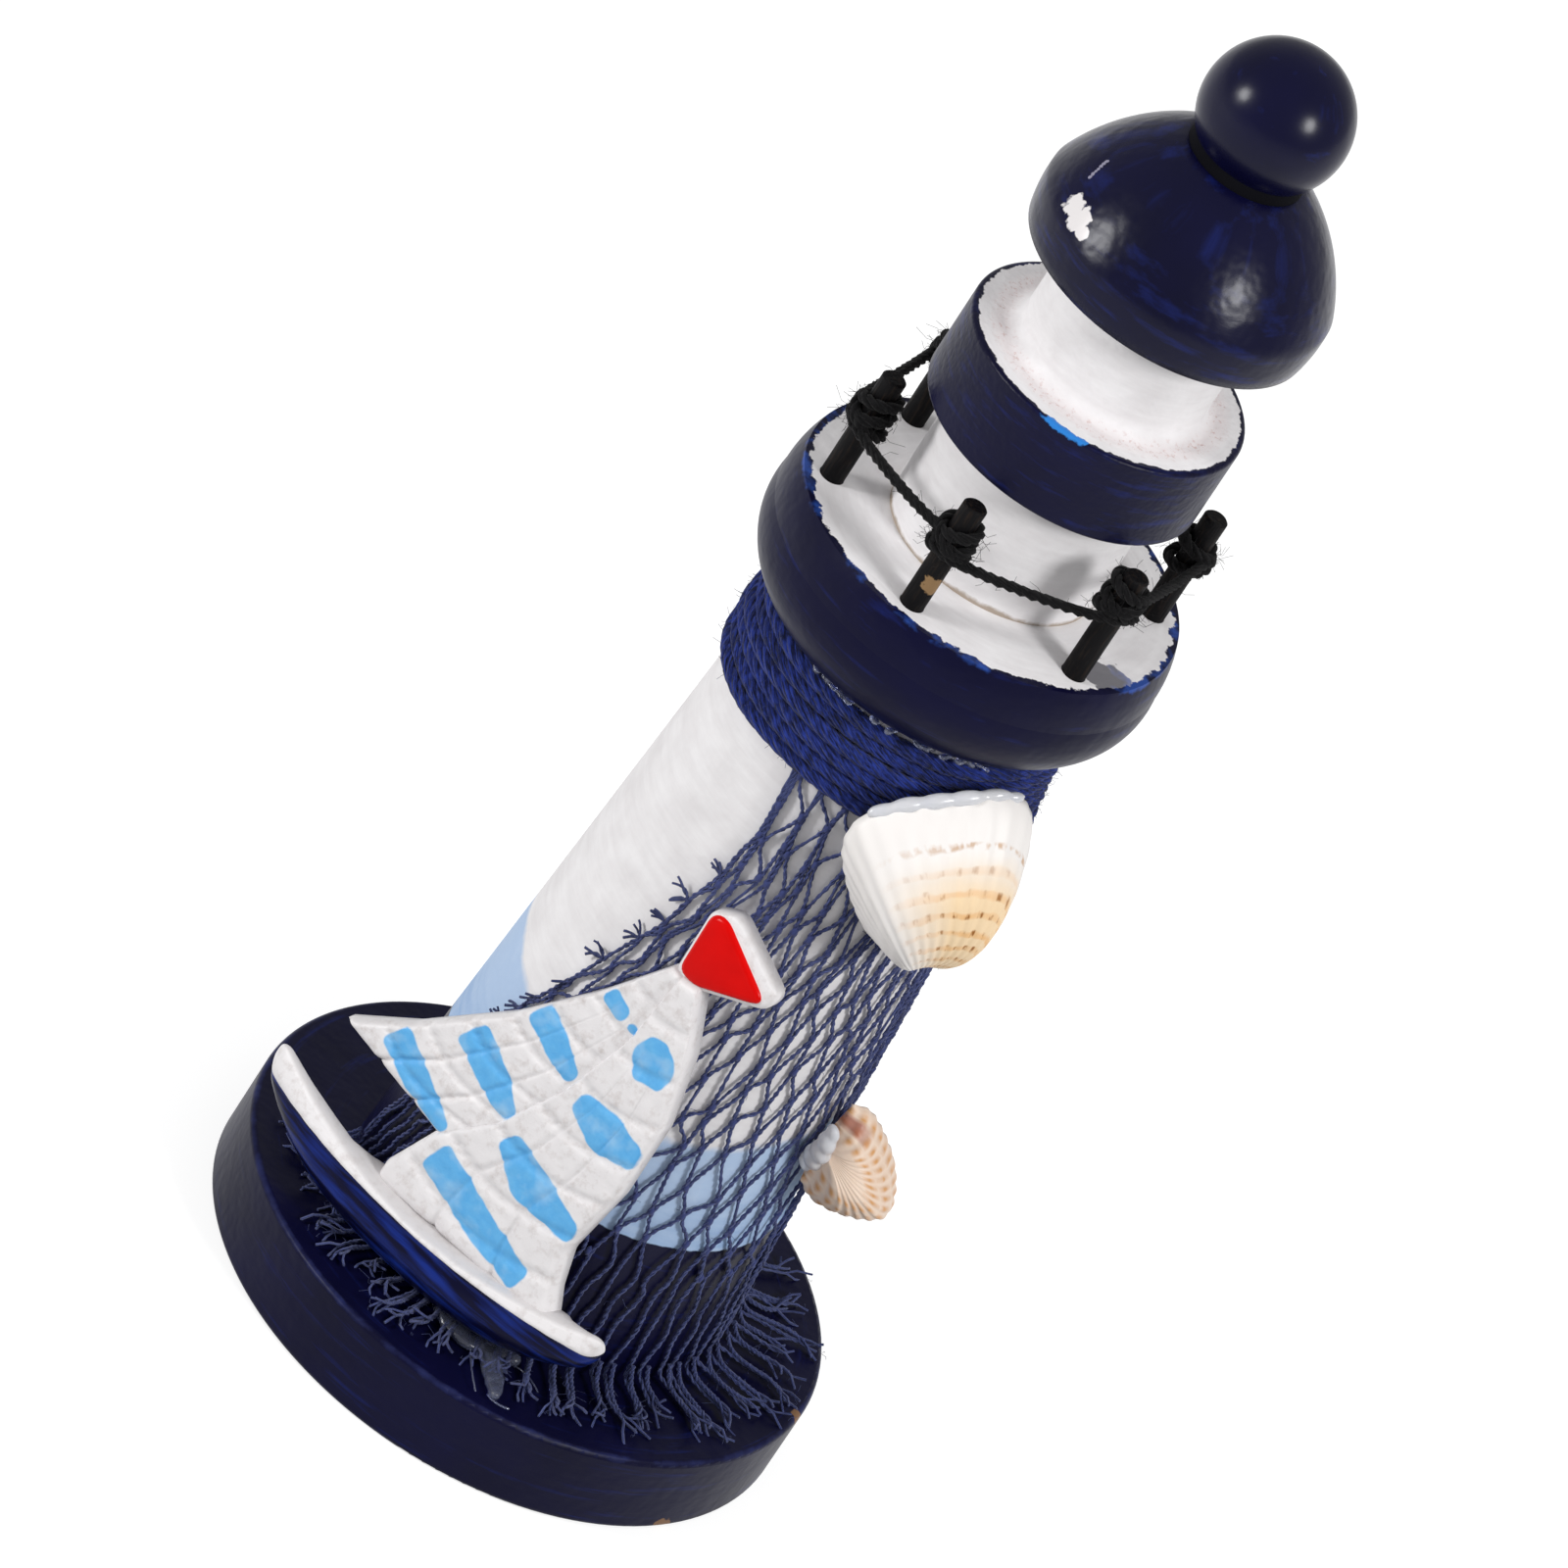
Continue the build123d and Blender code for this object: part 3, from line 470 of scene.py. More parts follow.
def cotton(name, dark, light, sheen, length):
    """Cotton yarn: dull fibres run along each ply of a cord that is so many millimetres long."""
    material, tree, shader = new_finish(
        name, {"Roughness": 0.85, "Specular IOR Level": 0.12, "Sheen Weight": sheen, "Sheen Roughness": 0.5}
    )
    chart = add(tree, "SeparateXYZ", {0: add(tree, "TexCoord", {}).outputs["UV"]})
    run = add(tree, "Math", {0: chart.outputs["X"], 1: length / 1.6}, operation="MULTIPLY")
    turn = add(tree, "Math", {0: chart.outputs["Y"], 1: 2 * math.pi}, operation="MULTIPLY")
    lean = add(tree, "Math", {0: run, 1: -0.7, 2: turn}, operation="MULTIPLY_ADD")
    side = add(tree, "Math", {0: lean}, operation="COSINE")
    rise = add(tree, "Math", {0: lean}, operation="SINE")
    wrap = add(tree, "CombineXYZ", {"X": run, "Y": side, "Z": rise})
    stretched = add(tree, "Mapping", {0: wrap, "Scale": (1.8, 2.6, 2.6)})
    fibre = add(tree, "TexNoise", {"Vector": stretched, "Scale": 1.0, "Detail": 5.0, "Roughness": 0.65})
    share = add(tree, "MapRange", {"Value": fibre, "From Min": 0.4, "From Max": 0.62})
    colour = add(tree, "Mix", {"Factor": share, "A": linear(dark), "B": linear(light)}, data_type="RGBA")
    feed(tree, shader, {"Base Color": colour})
    bump = add(tree, "Bump", {"Strength": 0.9, "Distance": 0.16 * mm, "Height": fibre})
    feed(tree, shader, {"Normal": bump})
    return material


POST_CIRCLE = 16.4
POST_RADIUS = 1.2
TWINE_RADIUS = 0.5
# Bearing of each post, and the levels at which the twine reaches and leaves it
hitches = (
    (169.0, 106.5, 105.5),
    (229.0, 107.0, 106.0),
    (289.0, 107.2, 104.9),
    (349.0, 107.2, 105.2),
    (409.0, 106.2, 108.6),
    (469.0, 106.4, 106.0),
)
HITCH_TURNS = 3
# The twine meets a post this far round from the outside, and leaves it as far on the other side
HITCH_LEAD = 30.0
HITCH_SWEEP = 360.0 * HITCH_TURNS + 2 * HITCH_LEAD
POINTS_PER_HITCH = 30
TWINE_SAG = Vector((0, 0, 0.35)) * mm
chance = random.Random(11)
twine_points = []
for number, (bearing, reached, left) in enumerate(hitches):
    foot = around(bearing, POST_CIRCLE, 0.0)
    swing = chance.uniform(1.1, 1.5)
    for step in range(POINTS_PER_HITCH + 1):
        share = step / POINTS_PER_HITCH
        turn = bearing - HITCH_LEAD + HITCH_SWEEP * share
        level = reached + (left - reached) * share + swing * math.sin(3.0 * math.pi * share)
        away = POST_RADIUS + TWINE_RADIUS - 0.1 + 0.3 * math.sin(math.pi * share)
        twine_points.append(foot + around(turn, away, level))
    leave = twine_points[-1]
    bearing, reached, left = hitches[(number + 1) % len(hitches)]
    arrive = around(bearing - HITCH_LEAD, POST_RADIUS + TWINE_RADIUS, reached)
    arrive += around(bearing, POST_CIRCLE, 0.0)
    for share in (0.33, 0.67):
        twine_points.append(leave.lerp(arrive, share) - TWINE_SAG)
twine_points.append(around(hitches[0][0], POST_CIRCLE + 1.9, 106.0))
route = smooth_route(twine_points)
plies = twist(route, plies=3, offset=0.27 * mm, lay=3.4 * mm)
fibres = fuzz(route, count=1000, length=2.1 * mm, skin=0.35 * mm, source=chance)
mesh = strand_mesh("rail_twine_hitched", plies, radius=0.33 * mm, fibres=fibres, fibre_radius=0.018 * mm)
twine = cotton("black cotton twine", "#030304", "#161517", sheen=0.06, length=300.0)
place_piece("rail_twine_hitched", mesh, [twine], "black_twine", "rail_twine")

# Rope collar
# A length of royal-blue twisted cotton cord, wound close round the top of the tower under the
# gallery and stuck with glue. The turns press on each other and wander a little.


BASE_TOP = 8.8
TOWER_FOOT = 19.2
TOWER_SLOPE = (TOWER_FOOT - 14.35) / 77.2


def tower_side(level):
    """Radius of the tower at a level, in millimetres."""
    return TOWER_FOOT - (level - BASE_TOP) * TOWER_SLOPE


COLLAR_PASSES = 6
COLLAR_FOOT = 77.1
COLLAR_PITCH = 1.52
COLLAR_STAND = 0.85
COLLAR_START = 50.0
COLLAR_END = 360.0 * COLLAR_PASSES + 140.0
COLLAR_STEP = 15.0
TAIL_DROP = 2.8
chance = random.Random(5)
collar_points = []
for step in range(int((COLLAR_END - COLLAR_START) / COLLAR_STEP) + 1):
    turn = COLLAR_START + COLLAR_STEP * step
    climbs = 0.0
    for lap in range(1, COLLAR_PASSES):
        # Each lap climbs to the next level behind the tower
        climbs += max(0.0, min(1.0, (turn - 360.0 * lap - 110.0) / 140.0))
    level = COLLAR_FOOT + COLLAR_PITCH * climbs + 0.2 * noise.noise(Vector((turn / 80.0, 3.1, 0.0)))
    level += 0.5 * noise.noise(around(turn, 1.2, 4.0) / mm)
    away = tower_side(level) + COLLAR_STAND + 0.45 * (0.5 + noise.noise(Vector((turn / 50.0, 9.4, 2.0))))
    tail = max(0.0, 1.0 - (turn - COLLAR_START) / 70.0)
    collar_points.append(around(turn, away + 1.3 * tail, level - TAIL_DROP * tail))
route = smooth_route(collar_points)
plies = twist(route, plies=5, offset=0.44 * mm, lay=9.0 * mm)
fibres = fuzz(route, count=2200, length=0.9 * mm, skin=0.7 * mm, source=chance)
mesh = strand_mesh("rope_collar_wound", plies, radius=0.37 * mm, fibres=fibres, fibre_radius=0.018 * mm)
cord = cotton("royal-blue cotton cord", "#03061b", "#273b94", sheen=0.15, length=590.0)
place_piece("rope_collar_wound", mesh, [cord], "blue_cord", "rope_collar")

# Fishing net
# Slate-blue cotton net with a diamond mesh, knotted where the strands meet. Its top is caught
# under the collar, it is drawn down round the tower, and its cut ends fan out over the base.
NET_STRANDS = 38
NET_TOP = 76.3
NET_FOOT = 11.0
NET_ROWS = 18
NET_LIFT = 0.5
KNOT_HALF = 0.8
NET_BUNCH = 4
STRAND_RADIUS = 0.25
PLY_OFFSET = 0.115 * mm
PLY_LAY = 1.7 * mm
# The strands are gathered above one level and pulled straight below another, each by degrees
GATHER_FROM = 62.0
GATHER_HEIGHT = 14.0
PULL_FROM = 26.0
PULL_HEIGHT = 10.0
FAN_START = 21.0
# Level and bearing of points down each side of the net
net_left = (
    (76.5, -15.5), (64.0, -14.6), (57.7, -18.4), (51.3, -25.0), (44.0, -35.5), (37.4, -44.4),
    (BASE_TOP, -75.0),
)
net_right = ((76.5, 98.0), (57.0, 98.0), (BASE_TOP, 128.0))


def side_bearing(side, level):
    """Bearing of a side of the net at a level."""
    for (high, first), (low, second) in zip(side, side[1:]):
        if level >= low:
            return first + (second - first) * (high - level) / (high - low)
    return side[-1][1]


def net_bearing(share, level):
    """Bearing at a share of the way from the net's left side to its right side."""
    left = side_bearing(net_left, level)
    # The meshes are wider towards the right
    return left + (side_bearing(net_right, level) - left) * share * (0.76 + 0.24 * share)


def finished(build, name):
    """Mesh of a finished bmesh."""
    mesh = bpy.data.meshes.new(name)
    build.to_mesh(mesh)
    build.free()
    return mesh


def merge_in(mesh, extra):
    """Adds a second mesh to a first one, and removes the second."""
    build = bmesh.new()
    build.from_mesh(mesh)
    build.from_mesh(extra)
    build.to_mesh(mesh)
    build.free()
    bpy.data.meshes.remove(extra)


chance = random.Random(23)
knots = {}
for row in range(NET_ROWS + 1):
    for column in range(-1, NET_STRANDS):
        level = NET_TOP - (NET_TOP - NET_FOOT) * row / NET_ROWS + chance.gauss(0.0, 0.6)
        share = (column + 1) / NET_STRANDS
        # Under the collar the strands are drawn together in bunches
        bunch = (NET_BUNCH * ((column + 1) // NET_BUNCH) + 1.5) / NET_STRANDS
        drawn = max(0.0, min(0.7, (level - GATHER_FROM) / GATHER_HEIGHT))
        bearing = net_bearing(share + (bunch - share) * drawn, level)
        knots[column, row] = (bearing + chance.gauss(0.0, 1.0), level)
strands = []
fibres = []
for strand in range(NET_STRANDS):
    points = []
    for row in range(NET_ROWS + 1):
        right_half = (strand + row) % 2 == 1
        bearing, level = knots[strand - 1 if right_half else strand, row]
        # At the foot the meshes are pulled long and the strands run nearly side by side
        pulled = max(0.0, min(0.6, (PULL_FROM - level) / PULL_HEIGHT))
        bearing += (net_bearing((strand + 0.5) / NET_STRANDS, level) - bearing) * pulled
        away = tower_side(level) + NET_LIFT
        beside = math.degrees(0.55 * STRAND_RADIUS / away)
        bearing += beside if right_half else -beside
        points.append(around(bearing, away, level + KNOT_HALF))
        points.append(around(bearing, away, level - KNOT_HALF))
    bearing = net_bearing((strand + 0.5) / NET_STRANDS, BASE_TOP) + chance.gauss(0.0, 0.9)
    end = chance.uniform(26.6, 29.8) if bearing > 55.0 else chance.uniform(25.2, 28.6)
    points.append(around(bearing, 20.6, BASE_TOP + 0.9))
    for share in (0.3, 0.65, 1.0):
        sway = bearing + chance.gauss(0.0, 1.1)
        away = FAN_START + (end - FAN_START) * share
        points.append(around(sway, away, BASE_TOP + 0.45 + chance.uniform(0.0, 0.4)))
    route = smooth_route(points, fineness=4)
    strands += twist(route, plies=2, offset=PLY_OFFSET, lay=PLY_LAY, open_end=2.2 * mm)
    fibres += fuzz(route[-10:], count=7, length=1.4 * mm, skin=0.2 * mm, source=chance)
    fibres += fuzz(route, count=5, length=0.9 * mm, skin=0.3 * mm, source=chance)
    # A cut mesh leaves a second end beside each strand
    bearing += chance.uniform(0.5, 1.0)
    points = [around(bearing, 20.0, BASE_TOP + 2.6), around(bearing, 20.7, BASE_TOP + 1.0)]
    for share in (0.35, 0.7):
        sway = bearing + chance.gauss(0.0, 0.5)
        away = FAN_START + (end - FAN_START - 0.5) * share
        points.append(around(sway, away, BASE_TOP + 0.6 + chance.uniform(0.0, 0.5)))
    points.append(around(bearing + chance.uniform(-4.0, 4.0), end - chance.uniform(0.0, 2.0), BASE_TOP + 0.7))
    route = smooth_route(points, fineness=4)
    strands += twist(route, plies=3, offset=0.15 * mm, lay=PLY_LAY, open_end=1.8 * mm)
selvage = []
for row in range(NET_ROWS + 1):
    bearing, level = knots[-1, row]
    selvage.append(around(bearing, tower_side(level) + NET_LIFT, level))
strands += twist(smooth_route(selvage, fineness=6), plies=2, offset=0.14 * mm, lay=1.9 * mm)
for row in range(4, NET_ROWS - 4):
    # Cut ends stand off along the net's left side
    bearing, level = knots[-1, row]
    for end in range(2):
        reach = bearing - chance.uniform(2.0, 6.0)
        tip = level + chance.uniform(-1.6, 1.4)
        away = tower_side(level) + NET_LIFT
        points = [around(bearing, away, level), around((bearing + reach) / 2, away, (level + tip) / 2 + 0.2)]
        points.append(around(reach, away + chance.uniform(0.2, 0.9), tip))
        route = smooth_route(points, fineness=4)
        strands += twist(route, plies=2, offset=PLY_OFFSET, lay=PLY_LAY, open_end=0.8 * mm)
mesh = strand_mesh(
    "fishing_net_knotted", strands, radius=0.14 * mm, fibres=fibres, fibre_radius=0.022 * mm, roundness=0
)
knot_build = bmesh.new()
for (column, row), (bearing, level) in knots.items():
    if (column + row) % 2 == 0 and 0 <= column < NET_STRANDS - 1 and 22.0 < level < NET_TOP:
        size = chance.uniform(0.3, 0.37) * mm
        spot = around(bearing, tower_side(level) + NET_LIFT, level)
        shape = Matrix.Translation(spot) @ Matrix.Diagonal((size, size, 1.9 * size, 1.0))
        bmesh.ops.create_icosphere(knot_build, subdivisions=1, radius=1.0, matrix=shape)
merge_in(mesh, finished(knot_build, "net knots"))
net = cotton("slate-blue cotton net", "#202655", "#5f6ba4", sheen=0.2, length=95.0)
place_piece("fishing_net_knotted", mesh, [net], "net_cotton", "fishing_net")

# Sailboat
# One flat-backed resin casting, glued against the net. The hull is navy with royal-blue streaks,
# the deck and the sails are white with sky-blue brush strokes, and the pennant is red.
BOAT_BEARING = -17.0
BOAT_STAND = 1.4
BOAT_LEAN = math.atan(TOWER_SLOPE)


def axes_at(origin, across, along, out):
    """Matrix that sets a piece's own three axes at a place."""
    turned_rows = [[*row, 0.0] for row in zip(across, along, out)]
    return Matrix.Translation(origin) @ Matrix(turned_rows + [[0, 0, 0, 1]])


boat_out = around(BOAT_BEARING, 1.0, 0.0) / mm
boat_face = boat_out * math.cos(BOAT_LEAN) + Vector((0, 0, math.sin(BOAT_LEAN)))
boat_along = around(BOAT_BEARING + 90.0, 1.0, 0.0) / mm
boat_up = boat_face.cross(boat_along)
boat_origin = around(BOAT_BEARING, TOWER_FOOT + BOAT_STAND, BASE_TOP)
boat_place = axes_at(boat_origin, boat_along, boat_up, boat_face)
BOW = -24.3
STERN = 18.0


def between(points, share):
    """Point at a share of the way along a row of points, by length."""
    lengths = [(there - here).length for here, there in zip(points, points[1:])]
    run = share * sum(lengths)
    for here, there, length in zip(points, points[1:], lengths):
        if run <= length or there is points[-1]:
            return here.lerp(there, min(1.0, run / length))
        run -= length


def plane_points(*pairs):
    """Points in the boat's own plane, in metres."""
    return [Vector((along, up, 0.0)) * mm for along, up in pairs]


SAIL_PANELS = 8
SAIL_SEAMS = 3


def sail(left, right, thick):
    """Raised plate between two sides, its front quilted into panels by cast seams."""
    build = bmesh.new()
    bmesh.ops.create_grid(build, x_segments=60, y_segments=90, size=0.5)
    for vertex in build.verts:
        across, up = vertex.co.x + 0.5, vertex.co.y + 0.5
        spot = between(left, up).lerp(between(right, up), across)
        bow = math.sin(math.pi * across) * 0.06 * (1.0 - up)
        column = min(1.0, 2.4 * abs(math.sin(math.pi * across * SAIL_SEAMS)) + 1.4 * up**2)
        panel = min(1.0, 2.4 * abs(math.sin(math.pi * (up + bow) * SAIL_PANELS)))
        quilt = 0.42 * math.sqrt(column * panel)
        rim = min(across, 1.0 - across) * (right[0] - left[0]).length / mm
        soft = min(1.0, rim / 0.9, up * 28.0, (1.0 - up) * 28.0)
        round_edge = 0.7 * math.sqrt(max(0.0, 1.0 - (1.0 - soft) ** 2))
        rough = 0.06 * noise.noise(spot / mm * 0.9)
        vertex.co = spot + Vector((0, 0, thick - 1.0 + round_edge + quilt + rough)) * mm
    # The open edge is carried back to the casting's flat back, which closes it
    border = [edge for edge in build.edges if edge.is_boundary]
    for vertex in bmesh.ops.extrude_edge_only(build, edges=border)["geom"]:
        if isinstance(vertex, bmesh.types.BMVert):
            vertex.co.z = 0.0
    bmesh.ops.holes_fill(build, edges=[edge for edge in build.edges if edge.is_boundary], sides=0)
    bmesh.ops.recalc_face_normals(build, faces=build.faces)
    return build


def stroke_gap(spot, stroke):
    """Distance in millimetres of a point from the edge of a tapered brush stroke, inside negative."""
    best = 1e9
    for (a, b, wide), (c, d, narrow) in zip(stroke, stroke[1:]):
        start, end = Vector((a, b)), Vector((c, d))
        span = end - start
        share = max(0.0, min(1.0, (spot - start).dot(span) / span.length_squared))
        side = (spot - start - span * share).length - (wide + (narrow - wide) * share) / 2
        best = min(best, side)
    first, second, last, before = (Vector(stroke[index][:2]) for index in (0, 1, -1, -2))
    past_start = (first - spot).dot((second - first).normalized())
    past_end = (spot - last).dot((last - before).normalized())
    rounding = 0.7
    side, past = best + rounding, max(past_start, past_end) - 0.3 + rounding
    return min(max(side, past), 0.0) + math.hypot(max(side, 0.0), max(past, 0.0)) - rounding


# Brush strokes as places along the boat and up it, with the width of the stroke there
strokes = (
    ((-15.2, 20.2, 3.5), (-11.0, 18.0, 3.2), (-6.4, 16.1, 1.5)),
    ((-9.2, 26.0, 3.8), (-5.0, 23.8, 3.5), (-2.0, 22.0, 2.1)),
    ((-5.0, 32.5, 3.0), (-2.0, 31.1, 3.0), (0.9, 29.5, 2.0)),
    ((-0.5, 39.0, 2.1), (1.7, 38.2, 1.9)),
    ((2.8, 38.0, 1.1), (3.6, 37.7, 1.1)),
    ((-5.4, 13.8, 3.9), (1.0, 11.7, 3.7), (7.8, 10.0, 2.8)),
    ((-0.4, 20.4, 2.8), (3.6, 18.4, 4.5), (9.5, 17.5, 2.4)),
    ((3.0, 28.6, 2.5), (6.8, 27.9, 4.6), (10.5, 28.0, 2.7)),
    ((6.0, 39.0, 2.4), (6.7, 36.9, 4.6), (7.2, 34.9, 3.4)),
)
jib_luff = plane_points((-20.3, 17.3), (-14.6, 22.0), (-7.4, 29.9), (-1.8, 37.8), (3.0, 45.8))
# The jib reaches a little way under the mainsail
jib_leech = plane_points((-5.9, 15.0), (-1.5, 20.4), (2.0, 27.8), (4.3, 36.4), (4.8, 45.5))
main_luff = plane_points(
    (-9.3, 7.2), (-9.3, 9.3), (-7.0, 15.2), (-2.6, 20.6), (1.0, 28.0), (3.4, 36.6), (4.2, 45.7)
)
main_leech = plane_points(
    (12.8, 8.0), (11.0, 11.6), (9.9, 15.5), (11.0, 23.5), (10.8, 32.0), (9.0, 39.5), (6.0, 46.0)
)
PAINT_NAME = "brush_gap"
# Numbers of the boat's three paints
WHITE, NAVY, RED = 0, 1, 2
PENNANT_ROUND = 1.0 * mm
# Outline, thickness and paint of the pennant's plate and of the raised field on it
PENNANT_PARTS = (
    (((3.3, 45.6), (3.0, 52.3), (4.5, 53.1), (11.5, 49.4), (11.5, 48.5), (5.4, 45.4)), 2.2, RED),
    (((3.0, 45.0), (2.7, 52.5), (5.2, 54.0), (12.6, 50.5), (12.3, 48.4), (5.4, 44.9)), 1.8, WHITE),
)
HULL_HALF = (STERN - BOW) / 2
HULL_MIDDLE = (STERN + BOW) / 2


def hull_section(station):
    """Depth, keel and deck of the hull, and how it closes in at its ends, from -1 to 1 along it."""
    end = abs(station)
    closing = math.sqrt(max(0.0, 1.0 - max(0.0, (end - 0.93) / 0.07) ** 2))
    return 3.9 - 2.6 * end**2.4, 1.3 + 5.9 * end**3, 7.2 + 3.5 * end**1.7, closing


# Round the section: navy side from the keel up, white edge, deck, then the flat back
HULL_ROWS = 52
NAVY_END, SIDE_END, DECK_END = 24 / HULL_ROWS, 30 / HULL_ROWS, 42 / HULL_ROWS
TIP_DROP = 1.2
hull = bmesh.new()
bmesh.ops.create_grid(hull, x_segments=110, y_segments=HULL_ROWS, size=0.5)
navy_faces = [face for face in hull.faces if face.calc_center_median().y + 0.5 < NAVY_END]
for vertex in hull.verts:
    station = math.sin(math.pi * vertex.co.x)
    girth = vertex.co.y + 0.5
    depth, keel, deck, closing = hull_section(station)
    line = 0.45 + (2.3 * abs(station) ** 1.6 if station < 0 else 1.5 * station**2)
    # Beyond the mainsail's foot the rail is narrow and falls off behind
    open_from = 0.32 if station < 0 else 0.75
    inner = 0.4 * depth * max(0.0, min(1.0, (abs(station) - open_from) / 0.15))
    back_top = deck - 0.5 * (deck - keel) * min(1.0, inner)
    below = -line
    if girth < SIDE_END:
        lowest = line / (deck - keel)
        climb = 1.0 - math.cos(min(1.0, girth / NAVY_END) * math.pi / 2)
        edge = max(0.0, girth - NAVY_END) / (SIDE_END - NAVY_END)
        drop = (1.0 - (1.0 - lowest) * climb) * (1.0 - edge)
        out = depth * (math.sqrt(max(0.0, 1.0 - drop**6)) + 0.23 * math.sin(math.pi * drop))
        up = deck - (deck - keel) * drop
        below = (deck - keel) * drop - line
    elif girth < DECK_END:
        inward = (girth - SIDE_END) / (DECK_END - SIDE_END)
        fall = max(0.0, inward - 0.7) / 0.3
        out = depth - (depth - inner) * min(1.0, inward / 0.7) - inner * fall
        crown = 0.35 * math.sin(math.pi * min(1.0, inward / 0.7)) ** 0.5
        up = deck + crown + (back_top - deck) * fall
    else:
        out = 0.0
        up = back_top - (back_top - keel) * (girth - DECK_END) / (1.0 - DECK_END)
    proud = 0.28 * max(0.0, min(1.0, 0.5 - below / 0.35)) if out > 0.3 else 0.0
    crumb = 0.06 * noise.noise(Vector((station * 16.0, girth * 9.0, 2.0))) if out > 0.3 else 0.0
    out = depth / 2 + (out + proud + crumb - depth / 2) * closing
    up = deck - TIP_DROP + (up - deck + TIP_DROP) * closing
    vertex.co = Vector((HULL_MIDDLE + HULL_HALF * station, up, out)) * mm
for face in navy_faces:
    face.material_index = NAVY
bmesh.ops.remove_doubles(hull, verts=hull.verts, dist=0.004 * mm)
bmesh.ops.recalc_face_normals(hull, faces=hull.faces)
jib = sail(jib_luff, jib_leech, thick=2.1)
mainsail = sail(main_luff, main_leech, thick=2.5)
boat_build = bmesh.new()
for part in (hull, jib, mainsail):
    spare = finished(part, "boat part")
    boat_build.from_mesh(spare)
    bpy.data.meshes.remove(spare)
for outline, thick, paint in PENNANT_PARTS:
    points = plane_points(*outline)
    soft = []
    for before, corner, after in zip(points[-1:] + points[:-1], points, points[1:] + points[:1]):
        start = corner.lerp(before, min(0.45, PENNANT_ROUND / (before - corner).length))
        end = corner.lerp(after, min(0.45, PENNANT_ROUND / (after - corner).length))
        for way in (0.0, 0.25, 0.5, 0.75, 1.0):
            soft.append(start.lerp(corner, way).lerp(corner.lerp(end, way), way))
    centre = sum(soft, Vector()) / len(soft)
    raised = [boat_build.verts.new(point) for point in soft]
    back = [boat_build.faces.new(raised)]
    top = back
    # The plate rises straight, then draws in over its rounded edge
    for rise, draw in ((thick - 0.5, 1.0), (0.35, 0.96), (0.15, 0.88 / 0.96)):
        lifted = bmesh.ops.extrude_face_region(boat_build, geom=top)["geom"]
        if top is not back:
            bmesh.ops.delete(boat_build, geom=top, context="FACES_ONLY")
        top = [item for item in lifted if isinstance(item, bmesh.types.BMFace)]
        corners = [item for item in lifted if isinstance(item, bmesh.types.BMVert)]
        bmesh.ops.translate(boat_build, verts=corners, vec=Vector((0, 0, rise * mm)))
        bmesh.ops.scale(boat_build, verts=corners, vec=(draw, draw, 1.0), space=Matrix.Translation(-centre))
        raised += corners
    sides = list({face for vertex in raised for face in vertex.link_faces})
    bmesh.ops.recalc_face_normals(boat_build, faces=sides)
    for face in sides:
        face.material_index = paint
gap_layer = boat_build.verts.layers.float.new(PAINT_NAME)
for vertex in boat_build.verts:
    spot = Vector((vertex.co.x, vertex.co.y)) / mm
    tremble = 0.12 * noise.noise(Vector((spot.x, spot.y, 4.0)) * 1.1)
    vertex[gap_layer] = min(stroke_gap(spot, stroke) for stroke in strokes) + tremble
bmesh.ops.transform(boat_build, matrix=boat_place, verts=boat_build.verts)
mesh = finished(boat_build, "sailboat_cast")

# White acrylic on the casting has a slight sheen, and dirt sits in the pores of the resin
EGGSHELL = {"Roughness": 0.42, "Specular IOR Level": 0.35}
resin, tree, shader = new_finish("white and sky-blue acrylic paint on cast resin", EGGSHELL)
place = measured(tree)
gap = add(tree, "Attribute", {}, attribute_name=PAINT_NAME).outputs["Fac"]
blue_part = add(tree, "MapRange", {"Value": gap, "From Min": 0.06, "From Max": -0.12})
crumbs = add(tree, "TexNoise", {"Vector": place, "Scale": 9 / 10, "Detail": 6.0, "Roughness": 0.65})
dirt = add(tree, "MapRange", {"Value": crumbs, "From Min": 0.5, "From Max": 0.75, "To Max": 0.7})
white = add(tree, "Mix", {"Factor": dirt, "A": linear("#e9e6e7"), "B": linear("#c2b9b6")}, data_type="RGBA")
# Painted shade: the deck and every other face of the casting that faces up are painted greyer
facing = add(tree, "NewGeometry", {}).outputs["Normal"]
upward = add(tree, "SeparateXYZ", {0: facing}).outputs["Z"]
up_facing_shade = add(tree, "MapRange", {"Value": upward, "From Min": 0.5, "From Max": 0.9, "To Max": 0.6})
white = add(tree, "Mix", {"Factor": up_facing_shade, "A": white, "B": linear("#b5b1b1")}, data_type="RGBA")
sky = add(tree, "Mix", {"Factor": crumbs, "A": linear("#429ddf"), "B": linear("#74bfee")}, data_type="RGBA")
# The blue was laid on thinly and lets some white through
brushed = add(tree, "TexNoise", {"Vector": place, "Scale": 32 / 100, "Detail": 3.0})
wash = add(tree, "MapRange", {"Value": brushed, "From Min": 0.5, "From Max": 0.72, "To Max": 0.55})
sky = add(tree, "Mix", {"Factor": wash, "A": sky, "B": linear("#b4d6ee")}, data_type="RGBA")
colour = add(tree, "Mix", {"Factor": blue_part, "A": white, "B": sky}, data_type="RGBA")
feed(tree, shader, {"Base Color": colour})
bump = add(tree, "Bump", {"Strength": 0.5, "Distance": 0.12 * mm, "Height": crumbs})
feed(tree, shader, {"Normal": bump})
